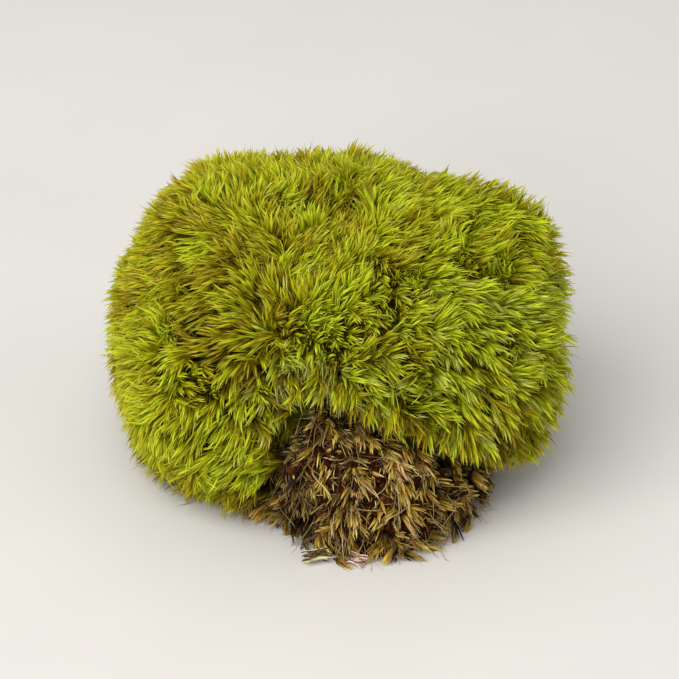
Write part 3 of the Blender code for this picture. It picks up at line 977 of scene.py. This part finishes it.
cut_corners = [vert for vert in felt_form.verts if vert.co.z <= CUT_HEIGHT]
cut_middle = sum((vert.co for vert in cut_corners), Vector()) / len(cut_corners)
for vert in cut_corners:
    vert.co = cut_middle + (vert.co - cut_middle) * CUT_SHARE
for vert in felt_form.verts:
    if vert.co.z > CUT_HEIGHT:
        lump = noise.fractal(vert.co / (FELT_LUMP * MM), 1.0, 2.0, 4)
        across = Vector((vert.co.x, vert.co.y, vert.co.z * FELT_CORD_RUN)) / (FELT_CORD_PITCH * MM)
        cord = 1.0 - 2.0 * abs(noise.noise(across))
        vert.co += vert.normal * MM * (FELT_ROUGH * lump + FELT_CORD * cord - FELT_INSET)
        vert.co.z = max(vert.co.z, CUT_GAP)
felt_form.to_mesh(felt_mesh)
felt_form.free()
felt_mesh.shade_smooth()
print(len(cut_corners), "corners in the flat cut")

# %% [markdown]
# ## Humus
#
# Humus is rotten leaves pressed into a damp, warm brown felt. It is rough all through, so it is
# matt, and its grain runs down along the buried stems. In the flat cut the stems are cut across,
# and a Voronoi pattern makes each one a pale ring with a dark rim. Which of the two patterns
# shows is told by the faces themselves: only those of the cut look straight down.

# %% Colour the humus
HUMUS_GRAIN = (900.0, 900.0, 260.0)  # to a metre: about 1.1 mm across, and 3.8 mm downwards
HUMUS_HEIGHT = 0.0006  # metres, of the grain

humus = new_material("humus_felt")
humus_place = add_node(humus, "ShaderNodeTexCoord")
humus_grain = add_node(
    humus, "ShaderNodeMapping", {"Vector": humus_place.outputs["Object"], "Scale": HUMUS_GRAIN}
)
crumb_noise = add_node(
    humus, "ShaderNodeTexNoise",
    {"Vector": humus_grain.outputs["Vector"], "Scale": 1.0, "Detail": 6.0, "Roughness": 0.65}
)
crumbly = crumb_noise.outputs["Fac"]
# the humus's own dark brown, made darker still as painted shade in the gaps between the dead shoots
humus_and_shade_colour = add_ramp(
    humus, crumbly, [(0.3, "#100400"), (0.5, "#2a1000"), (0.62, "#4a2404"), (0.75, "#744c10")]
)
humus_bump = add_node(
    humus, "ShaderNodeBump", {"Height": crumbly, "Distance": HUMUS_HEIGHT, "Strength": 0.6}
)
print("material", humus.name)

# %% Colour its flat cut
STEM_PITCH = 1.6  # between the stems that are cut across
FACING_DOWN = -0.98  # the height of a normal that looks straight down

cut_stems = add_node(humus, "ShaderNodeTexVoronoi", {"Scale": 1.0 / (STEM_PITCH * MM)})
cut_colour = add_ramp(
    humus, cut_stems.outputs["Distance"],
    [(0.1, "#2a180a"), (0.16, "#b08c5c"), (0.3, "#8a6438"), (0.36, "#24160a")]
)
facing = add_node(humus, "ShaderNodeNewGeometry")
facing_parts = add_node(humus, "ShaderNodeSeparateXYZ", {"Vector": facing.outputs["True Normal"]})
on_cut = add_node(
    humus, "ShaderNodeMath", {0: facing_parts.outputs["Z"], 1: FACING_DOWN}, operation="LESS_THAN"
)
humus_or_cut = add_mix(humus, on_cut.outputs["Value"], humus_and_shade_colour, cut_colour)
humus_surface = add_surface(
    humus, humus_or_cut, roughness=0.95, gloss=0.1, Normal=humus_bump.outputs["Normal"]
)
finish_material(humus, humus_surface)
felt_mesh.materials.append(humus)
add_piece("humus_felt", felt_mesh, "dead_shoots", "brown_base")

# %% [markdown]
# ## Dead shoots
#
# The dead shoots are grown like the living ones, but short and brittle, and hanging. A dead leaf
# has lost its green and most of its wax: it is straw to dark brown, duller, and hardly lets light
# through. Its foot is darkest: it has rotted longest, and it is given painted shade from the leaves
# above. At the foot of the patch the dead shoots stand closer and lie out over the table.

# %% Describe the dead shoots
DEAD_HABIT = {
    "leaves": 24,
    "tip_length": 2.4,
    "depth": 7.0,
    "spread_low": 20.0,
    "spread_top": 4.0,
    "bend": 0.45,
    "bow": 0.9,
    "length": 4.0,
    "width": 0.5,
    "tone_spread": 0.05,
    "age_and_shade": 0.6,
}
DEAD_TONE = 0.64
DEAD_ZONES = [
    ((-9.0, -38.0, 28.0), 8.0, -0.26),  # grey-olive, just dead, under the green edge
    ((-12.5, -28.0, 9.0), 9.0, -0.42),  # painted shade in the cleft
    ((28.0, -26.0, 8.0), 8.0, -0.30),  # dark olive at the right
    ((2.0, -46.0, 1.0), 6.0, 0.2),  # pinkish foot
    # painted shade along the foot of the patch, where it meets the table
    ((6.0, -45.0, 4.0), 6.0, -0.16),
    ((-11.5, -38.5, 13.0), 6.5, -0.42),  # painted shadow in the corner of the cleft at the lower left
    ((-9.0, -42.5, 4.0), 7.0, -0.34),
    # darker and lighter spots across the patch
    ((7.0, -44.0, 8.0), 3.0, -0.2),
    ((8.0, -41.0, 17.0), 5.0, 0.12),
    ((1.0, -39.0, 21.0), 3.0, -0.15),
    ((19.5, -40.0, 8.0), 8.0, -0.2),  # olive, with an ochre tuft in it
    ((17.0, -42.0, 6.0), 3.5, 0.32),
]

# %% Mix the dead leaf's colours
dead_leaf = leaf_material(
    "dead_moss_leaf",
    tones=[
        (0.0, "#2a1800"),
        (0.14, "#463206"),
        (0.28, "#766c2c"),
        (0.38, "#b09e40"),
        (0.52, "#e0be44"),
        (0.66, "#f8e47a"),
        (0.8, "#f6e29c"),
        (0.9, "#e4b89c"),
        (1.0, "#d8a894"),
    ],
    along=[(0.0, "#4c3420"), (0.45, "#d8c4a4"), (1.0, "#ffffff")],
    streaks=[(0.3, "#8c8068"), (0.65, "#ffffff")],
    point=("#f4da8c", 0.34),
    glow=0.2,
    roughness=0.6,
    gloss=0.12,
)

# %% Choose the places of the dead shoots
DEAD_SPACING = (1.7, 1.15)  # on the patch, and at its foot
BROWN_REACH = 4.0  # over which an outward direction is taken here
FOOT_HEIGHT = 7.0  # how high the foot of the patch reaches
SHOWN_LOWEST = 0.8
SHOWN_FACING = -0.5  # faces that look further down than this are never seen

is_shown = is_brown & (places[:, 2] > SHOWN_LOWEST) & (normals[:, 2] > SHOWN_FACING)
brown_rows = np.flatnonzero(is_shown)
on_patch = np.clip(places[brown_rows, 2] / FOOT_HEIGHT, 0.0, 1.0)
spacing = DEAD_SPACING[1] + (DEAD_SPACING[0] - DEAD_SPACING[1]) * on_patch
brown_rows = brown_rows[spaced_out(places[brown_rows], spacing, 2)]
dead_out = outward(places[brown_rows], BROWN_REACH)
dead_tips = out_to_tips(places[brown_rows], dead_out, places[is_brown])
print(len(dead_tips), "dead shoots")

# %% Aim the dead shoots
PATCH_FAN = ((-5.0, -36.0, 34.0), 60.0)  # where they spread from
DEAD_TUFT_SPACING = 5.0
DEAD_TUFT_TURN = 0.6  # radians
DEAD_TURN = 0.35
DEAD_AXIS = (0.7, 0.7, 0.3, 0.35)  # of outwards, the flow, out from the tuft's middle, and bumps
DEAD_SWEEP = (0.2, 1.0, 0.7)  # of outwards, the flow and waves
DEAD_WAVE = 4.0  # the size of the bumps and waves
FOOT_FLOW = 0.1  # how much the slope still bends them at the foot, where they lie flat

dead_flow = down - dead_out * (dead_out @ down)[:, None]
dead_flow = dead_flow * np.clip(dead_tips[:, 2:3] / FOOT_HEIGHT, FOOT_FLOW, 1.0)
dead_flow = unit(dead_flow + fan_out(dead_tips, dead_out, *PATCH_FAN))
dead_tuft, dead_offset = tufts_of(dead_tips, DEAD_TUFT_SPACING, 7)
dead_turn = chance.normal(0.0, DEAD_TUFT_TURN, dead_tuft.max() + 1)[dead_tuft]
dead_turn = dead_turn + chance.normal(0.0, DEAD_TURN, len(dead_tips))
dead_flow = turned(dead_flow, dead_out, dead_turn)
dead_axis = blend(DEAD_AXIS, dead_out, dead_flow, dead_offset, noise_ways(dead_tips, DEAD_WAVE, 41))
dead_sweep = blend(DEAD_SWEEP, dead_out, dead_flow, noise_ways(dead_tips, DEAD_WAVE, 45))
print(dead_tuft.max() + 1, "dead tufts")

# %% Grow the dead shoots
DEAD_DIP = 0.9  # how much deeper they end at a tuft's rim
FOOT_SPREAD = 4.4  # how far the lowest of them lie out over the table
FOOT_ZONES = [  # and where they lie out further
    ((16.0, -42.0, 1.0), 8.0, 2.0),
    ((-12.0, -40.0, 1.0), 5.0, 1.8),
]
FOOT_FADE = 4.0  # the height over which this passes
DEAD_MOTTLE = 0.14
DEAD_PATCH = 5.0  # how wide its patches are
DEAD_TONES = 0.14
DEAD_TUFT_TONES = 0.08
DEAD_SIZE_MOTTLE = 0.2

pulled_in = np.abs(chance.normal(0.0, 1.0, len(dead_tips)))
pulled_in = pulled_in + DEAD_DIP * (dead_offset ** 2).sum(axis=1)
pushed_out = FOOT_SPREAD * chance.uniform(0.0, 1.0, len(dead_tips)) + zone_sum(dead_tips, FOOT_ZONES)
pushed_out = pushed_out * np.clip(1.0 - dead_tips[:, 2] / FOOT_FADE, 0.0, 1.0)
dead_tips = dead_tips + dead_out * (pushed_out - pulled_in)[:, None]
dead_tone = DEAD_TONE + zone_sum(dead_tips, DEAD_ZONES)
dead_tone = dead_tone + DEAD_MOTTLE * noise_at(dead_tips, DEAD_PATCH, 50)
dead_tone = dead_tone + chance.normal(0.0, DEAD_TONES, len(dead_tips))
dead_tone = dead_tone + chance.normal(0.0, DEAD_TUFT_TONES, dead_tuft.max() + 1)[dead_tuft]
dead_size = 1.0 + DEAD_SIZE_MOTTLE * noise_at(dead_tips, DEAD_PATCH, 54)
dead_points, dead_leaf_tone = grow(dead_tips, dead_axis, dead_sweep, dead_tone, dead_size, DEAD_HABIT, 6)
leaf_mesh("dead_shoots", dead_points, dead_leaf_tone, dead_leaf, "dead_shoots", "brown_base")

# %% [markdown]
# ## Bare stems and root threads
#
# Where their leaves have rotted away, the old stems stay as thin dark wires, or bleach to straw.
# Around them hang rhizoids, the threads that do a moss's work of roots, pale brown and finer than
# a hair. A thread that thin would vanish in the picture, so they are drawn two or three times as
# thick as the real 0.05 mm. All are tubes with three sides, which is plenty at this size.

# %% Shape threads
THREAD_STEPS = np.linspace(0.0, 1.0, 7)
THREAD_RINGS = len(THREAD_STEPS) - 1
THREAD_TURNS = (0.0, 2.0 * math.pi / 3.0, 4.0 * math.pi / 3.0)
THREAD_TAPER = 0.5  # how much of its thickness a thread loses towards its end
WAVE_HEIGHT = 0.3  # of the curl
WAVE_TURN = 5.0  # radians along a thread


def thread_points(starts, ways, length, thick, curl, sag, seed):
    """The corners of each thread, three round every step and one at its end."""
    chance = np.random.default_rng(seed)
    first, second = across_of(ways)
    bow, wave = chance.normal(0.0, curl, (2, len(starts), 3))
    corners = []
    for step in THREAD_STEPS:
        along = ways * step + bow * step**2 + wave * math.sin(WAVE_TURN * step) * WAVE_HEIGHT
        along = along + down * sag * step**2
        middle = starts + along * length[:, None]
        if step == 1.0:
            corners.append(middle)
            continue
        radius = thick * (1.0 - THREAD_TAPER * step) / 2.0
        for turn in THREAD_TURNS:
            side = first * math.cos(turn) + second * math.sin(turn)
            corners.append(middle + side * radius[:, None])
    points = np.stack(corners, axis=1)
    points[..., 2] = np.maximum(points[..., 2], TABLE_GAP)
    return points


# %% Face a thread


def thread_faces():
    """The triangles of one thread: three sides from ring to ring, and three to its end."""
    faces = []
    for ring in range(THREAD_RINGS):
        for side in range(3):
            here = 3 * ring + side
            beside = 3 * ring + (side + 1) % 3
            if ring == THREAD_RINGS - 1:
                faces.append((here, beside, 3 * THREAD_RINGS))
            else:
                faces += [(here, beside, beside + 3), (here, beside + 3, here + 3)]
    return np.array(faces)


# %% [markdown]
# ## Stems and threads on the patch
#
# Each kind is hung from places picked on the patch, and set a little into it. A bare stem is
# smooth and hard, so it has some gloss, and lets no light through. A bleached stem is straw, dull
# and papery. A rhizoid is soft, and so thin that light passes through it.

# %% Mix the colours of stems and threads
wiry_stem = leaf_material(
    "wiry_moss_stem",
    tones=[(0.0, "#20120a"), (0.5, "#54341a"), (1.0, "#8a6030")],
    along=[(0.0, "#a09080"), (1.0, "#ffffff")],
    streaks=[(0.3, "#a0a0a0"), (0.7, "#ffffff")],
    point=("#8a6030", 0.0),
    glow=0.0,
    roughness=0.5,
    gloss=0.4,
)
rhizoid = leaf_material(
    "rhizoid_threads",
    tones=[(0.0, "#5c3c1e"), (0.5, "#b08a5a"), (1.0, "#e4cca4")],
    along=[(0.0, "#b0a090"), (1.0, "#ffffff")],
    streaks=[(0.3, "#b0b0b0"), (0.7, "#ffffff")],
    point=("#e4cca4", 0.0),
    glow=0.2,
    roughness=0.7,
    gloss=0.2,
)
bleached_stem = leaf_material(
    "bleached_moss_stem",
    tones=[(0.0, "#7c6828"), (0.5, "#c0a85c"), (1.0, "#e6d298")],
    along=[(0.0, "#908060"), (0.6, "#ffffff")],
    streaks=[(0.3, "#b0a890"), (0.7, "#ffffff")],
    point=("#f0e0b4", 0.25),
    glow=0.2,
    roughness=0.6,
    gloss=0.25,
)

# %% Describe the stems and threads
BARE = {"lengths": (3.5, 5.5), "thicks": (0.22, 0.38), "curl": 0.16, "sag": 0.2, "tones": (0.0, 1.0)}
BLEACHED = {"lengths": (2.5, 5.0), "thicks": (0.2, 0.38), "curl": 0.55, "sag": 0.35, "tones": (0.1, 1.0)}
THREAD = {"lengths": (1.5, 3.5), "thicks": (0.1, 0.16), "curl": 0.4, "sag": 0.3, "tones": (0.0, 1.0)}
FRINGE = {"lengths": (2.0, 5.0), "thicks": (0.12, 0.2), "curl": 0.4, "sag": 0.5, "tones": (0.4, 1.0)}


def pick_brown(count, seed, highest=ABOVE_ALL):
    """Some places on the shown part of the brown base, with their outward directions."""
    shown = np.flatnonzero(is_shown & (places[:, 2] < highest))
    chosen = np.random.default_rng(seed).choice(shown, count, replace=False)
    return places[chosen], outward(places[chosen], BROWN_REACH)


def strays(ways, spread):
    """A random change for each direction."""
    return chance.normal(0.0, spread, ways.shape)


def hang(name, feet, ways, kind, seed, shift, material):
    """A piece of stems or threads of one kind, its tones shifted by as much as it says."""
    length = chance.uniform(*kind["lengths"], len(feet))
    thick = chance.uniform(*kind["thicks"], len(feet))
    points = thread_points(feet, ways, length, thick, kind["curl"], kind["sag"], seed)
    tone = chance.uniform(*kind["tones"], len(feet)) + shift
    chart = chart_of(tone, (-1.0, 0.0, 1.0), THREAD_STEPS)
    mesh_piece(name, points, thread_faces(), chart, material, "dead_shoots", "brown_base")


# %% Hang the stems
BARE_COUNT = 60
BLEACHED_COUNT = 260
BLEACHED_TURN = 0.7  # radians
STEM_ROOT = 2.5  # how deep the stems are set in

starts, ways = pick_brown(BARE_COUNT, 71)
ways = blend((0.6, 0.7, 1.0), ways, down, strays(ways, 0.6))
hang("bare_stems", starts - STEM_ROOT * ways, ways, BARE, 72, 0.0, wiry_stem)

starts, ways = pick_brown(BLEACHED_COUNT, 77)
fall = unit(down - ways * (ways @ down)[:, None] + fan_out(starts, ways, *PATCH_FAN))
fall = turned(fall, ways, chance.normal(0.0, BLEACHED_TURN, BLEACHED_COUNT))
feet = starts - STEM_ROOT * fall
ways = blend((0.5, 1.0), ways, fall)
hang("bleached_stems", feet, ways, BLEACHED, 78, zone_sum(feet, DEAD_ZONES), bleached_stem)

# %% Hang the threads
THREAD_COUNT = 420
THREAD_ROOT = 1.0
FRINGE_COUNT = 420
FRINGE_ROOT = 0.8
FRINGE_HEIGHT = 5.0  # up to which threads lie out over the table

starts, ways = pick_brown(THREAD_COUNT, 73)
ways = blend((0.6, 0.5, 1.0), ways, down, strays(ways, 0.8))
feet = starts - THREAD_ROOT * ways
hang("rhizoids", feet, ways, THREAD, 74, zone_sum(starts, DEAD_ZONES), rhizoid)

starts, ways = pick_brown(FRINGE_COUNT, 75, FRINGE_HEIGHT)
ways = blend((1.0, 0.3, 1.0), ways, down, strays(ways, 0.6))
feet = starts - FRINGE_ROOT * ways
hang("rhizoid_fringe", feet, ways, FRINGE, 76, zone_sum(starts, DEAD_ZONES), rhizoid)

# %% [markdown]
# ## Crumbs of humus
#
# Rotten leaves and soil stick in the felt as small dark lumps, matt and rough like the humus. Each
# is a ball with its corners moved in and out, squeezed a little, and pressed into the surface.

# %% Press crumbs into the felt
CRUMB_COUNT = 340
CRUMB_SIZES = (0.3, 0.9)  # radius
CRUMB_SQUEEZE = (0.55, 1.0)
CRUMB_ROUGH = 0.12
CRUMB_DEPTH = 1.9  # below the solid model's surface
CRUMB_TONES = (0.02, 0.94)
CRUMB_MOTTLE = 0.02  # of the chart's width, for one crumb
CRUMB_CHART = (0.5, 0.46)  # the chart's middle, and how far from it a crumb reaches up and down

ball = bmesh.new()
bmesh.ops.create_icosphere(ball, subdivisions=2, radius=1.0)
ball_corners = np.array([vert.co for vert in ball.verts])
ball_faces = np.array([[vert.index for vert in face.verts] for face in ball.faces])
ball.free()

crumb_places, crumb_out = pick_brown(CRUMB_COUNT, 81)
crumb_size = chance.uniform(*CRUMB_SIZES, CRUMB_COUNT)
squeeze = chance.uniform(*CRUMB_SQUEEZE, (CRUMB_COUNT, 1, 3))
lumps = 1.0 + chance.normal(0.0, CRUMB_ROUGH, (CRUMB_COUNT, len(ball_corners), 1))
crumbs = ball_corners[None] * lumps * squeeze * crumb_size[:, None, None]
crumbs = crumbs + (crumb_places - crumb_out * CRUMB_DEPTH)[:, None]
crumbs[..., 2] = np.maximum(crumbs[..., 2], TABLE_GAP)
crumb_chart = np.zeros((CRUMB_COUNT, len(ball_corners), 2))
crumb_tone = chance.uniform(*CRUMB_TONES, CRUMB_COUNT)
crumb_chart[..., 0] = crumb_tone[:, None] + CRUMB_MOTTLE * ball_corners[:, 0]
# the chart's height follows the crumb's height, so its underside gets the darker end: painted shade
crumb_chart[..., 1] = CRUMB_CHART[0] + CRUMB_CHART[1] * ball_corners[:, 2]

# %% Colour the crumbs
humus_crumb = leaf_material(
    "humus_crumbs",
    tones=[(0.0, "#1c1008"), (0.5, "#4a2e16"), (0.8, "#7c5a30"), (1.0, "#b08c58")],
    # darker towards each crumb's underside: painted shade
    along=[(0.0, "#806850"), (1.0, "#ffffff")],
    streaks=[(0.3, "#909090"), (0.7, "#ffffff")],
    point=("#b08c58", 0.0),
    glow=0.0,
    roughness=0.9,
    gloss=0.1,
)
mesh_piece("humus_crumbs", crumbs, ball_faces, crumb_chart, humus_crumb, "dead_shoots", "brown_base")

# %% [markdown]
# ## Two pale scraps
#
# Two scraps of dead stem sheath, bleached to a greenish and a pinkish buff, are caught in the foot
# of the brown patch. A sheath that dries curls up lengthwise into a trough, with painted shade
# inside, and splits into strips at its ends. A bent grid makes the trough, some of its columns stop
# short of the ends so that strips stand apart there, and Blender's solidify gives it the thickness
# of a sheath. The solid model's plain slip says where it lies and which way it points.

# %% Describe the scraps
SHEATH_THICK = 0.14
SHEATH_GRID = (24, 13)  # rows along the scrap, and columns across it
SHEATH_TIP = math.radians(-35.0)  # how far the trough is turned to look at the front
SHEATH_RADIUS = 0.42  # of the slip's width
SHEATH_RISE = 0.6  # of the radius, by which the trough stands higher than the slip
SHEATH_LOWEST = 0.3
SHEATH_CLOSING = 0.2  # of the curl, that is lost towards the ends
FRAY = (1.15, 0.8)  # of the slip's length: the longest strips, and how much shorter some are
RIPPLE = 0.16  # of the radius
STREAKS = (500.0, 2400.0, 2400.0)  # to a metre: 2 mm long, and 0.4 mm wide
SHEATHS = {
    # node: outside colours, inside colours darkened as painted shade, half the curl, whole part, how far
    # the strips spread
    "pale_scrap_left": (("#8c8454", "#c8c090", "#e8e4c4"), "#4a3618", math.radians(112.0), 0.62, 0.3),
    "pale_scrap_right": (("#b49484", "#e4ccc0", "#f8eee8"), "#b08c7c", math.radians(84.0), 0.2, 0.6),
}

# %% Mix the colours of a dry sheath


def sheath_material(name, low, middle, high):
    """A dry sheath: matt, with a little gloss left, and streaks along the scraps."""
    material = new_material(name)
    place = add_node(material, "ShaderNodeTexCoord")
    grain = add_node(
        material, "ShaderNodeMapping", {"Vector": place.outputs["Object"], "Scale": STREAKS}
    )
    streaky = add_node(
        material, "ShaderNodeTexNoise", {"Vector": grain.outputs["Vector"], "Scale": 1.0, "Detail": 4.0}
    )
    colour = add_ramp(material, streaky.outputs["Fac"], [(0.36, low), (0.5, middle), (0.68, high)])
    return finish_material(material, add_surface(material, colour, roughness=0.7, gloss=0.25))


# %% Find how the slips lie


def slip_frame(node):
    """The middle of a node, its directions from longest to thinnest, and its sizes along them."""
    corners = np.array([vert.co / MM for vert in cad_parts[node].data.vertices])
    middle = corners.mean(axis=0)
    ways = np.linalg.svd(corners - middle, full_matrices=False)[2]
    # each may come out either way round, so take the one that is to the right, the front or up
    ways = ways * np.where(ways @ (1.0, -2.0, 3.0) < 0.0, -1.0, 1.0)[:, None]
    return middle, ways, np.ptp((corners - middle) @ ways.T, axis=0)


# %% Say where a place of a trough is


def sheath_place(slip, seed, along, across, half_curl, splay):
    """A place on the trough, in its frayed length, its ripples and its flare."""
    middle, ways, sizes = slip
    side = ways[1] * math.cos(SHEATH_TIP) + ways[2] * math.sin(SHEATH_TIP)
    open_way = ways[2] * math.cos(SHEATH_TIP) - ways[1] * math.sin(SHEATH_TIP)
    radius = SHEATH_RADIUS * sizes[1]
    # noise that differs from strip to strip, from scrap to scrap and from end to end
    strip = Vector((across * 5.0, 3.7 * seed, 1.7 * (along > 0.0)))
    fray = FRAY[0] - FRAY[1] * abs(noise.noise(strip))
    ripple = 1.0 + RIPPLE * noise.noise(Vector((along * 2.0, across * 6.0, seed)))
    flare = 1.0 + splay * abs(along) ** 2
    turn = half_curl * across * (1.0 - SHEATH_CLOSING * abs(along))
    place = middle + (0.0, 0.0, radius * SHEATH_RISE)
    place = place + ways[0] * (along * fray * sizes[0] / 2.0)
    place = place + side * (radius * ripple * flare * math.sin(turn))
    place = place - open_way * (radius * ripple * flare * math.cos(turn))
    place[2] = max(place[2], SHEATH_LOWEST)
    return place


# %% Bend a trough


def sheath_form(slip, seed, half_curl, whole, splay):
    """The grid of a trough with its strips, made as thick as a sheath."""
    form = bmesh.new()
    rows = []
    for along in np.linspace(-1.0, 1.0, SHEATH_GRID[0]):
        row = []
        for across in np.linspace(-1.0, 1.0, SHEATH_GRID[1]):
            place = sheath_place(slip, seed, along, across, half_curl, splay)
            row.append(form.verts.new(place * MM))
        rows.append(row)
    for step, (low, high) in enumerate(zip(rows, rows[1:])):
        away = abs(2.0 * (step + 0.5) / (SHEATH_GRID[0] - 1) - 1.0)
        for number in range(len(low) - 1):
            if away < whole or number % 3 != 1:
                form.faces.new((low[number], low[number + 1], high[number + 1], high[number]))
    bmesh.ops.recalc_face_normals(form, faces=form.faces[:])
    bmesh.ops.solidify(form, geom=form.faces[:], thickness=SHEATH_THICK * MM)
    form.normal_update()
    return form


# %% Make the scraps


def shade_inside(form, slip):
    """Give the second material, the inside's painted shade, to the faces that look towards the middle
    line of the trough.
    """
    middle, ways, sizes = slip
    centre = middle + (0.0, 0.0, SHEATH_RADIUS * sizes[1] * SHEATH_RISE)
    for face in form.faces:
        from_centre = np.array(face.calc_center_median() / MM) - centre
        from_centre = from_centre - ways[0] * (from_centre @ ways[0])
        face.material_index = int(np.array(face.normal) @ from_centre < 0.0)


for seed, (node, (outside, inside, *bending)) in enumerate(SHEATHS.items()):
    slip = slip_frame(node)
    form = sheath_form(slip, seed, *bending)
    shade_inside(form, slip)
    mesh = bpy.data.meshes.new(node + "_sheath")
    form.to_mesh(mesh)
    form.free()
    mesh.shade_smooth()
    mesh.materials.append(sheath_material(node + "_outside", *outside))
    # the inside of the trough: its colours darkened as painted shade
    mesh.materials.append(sheath_material(node + "_inside", "#2a1c0c", inside, outside[0]))
    add_piece(node + "_sheath", mesh, "pale_scrap", node)
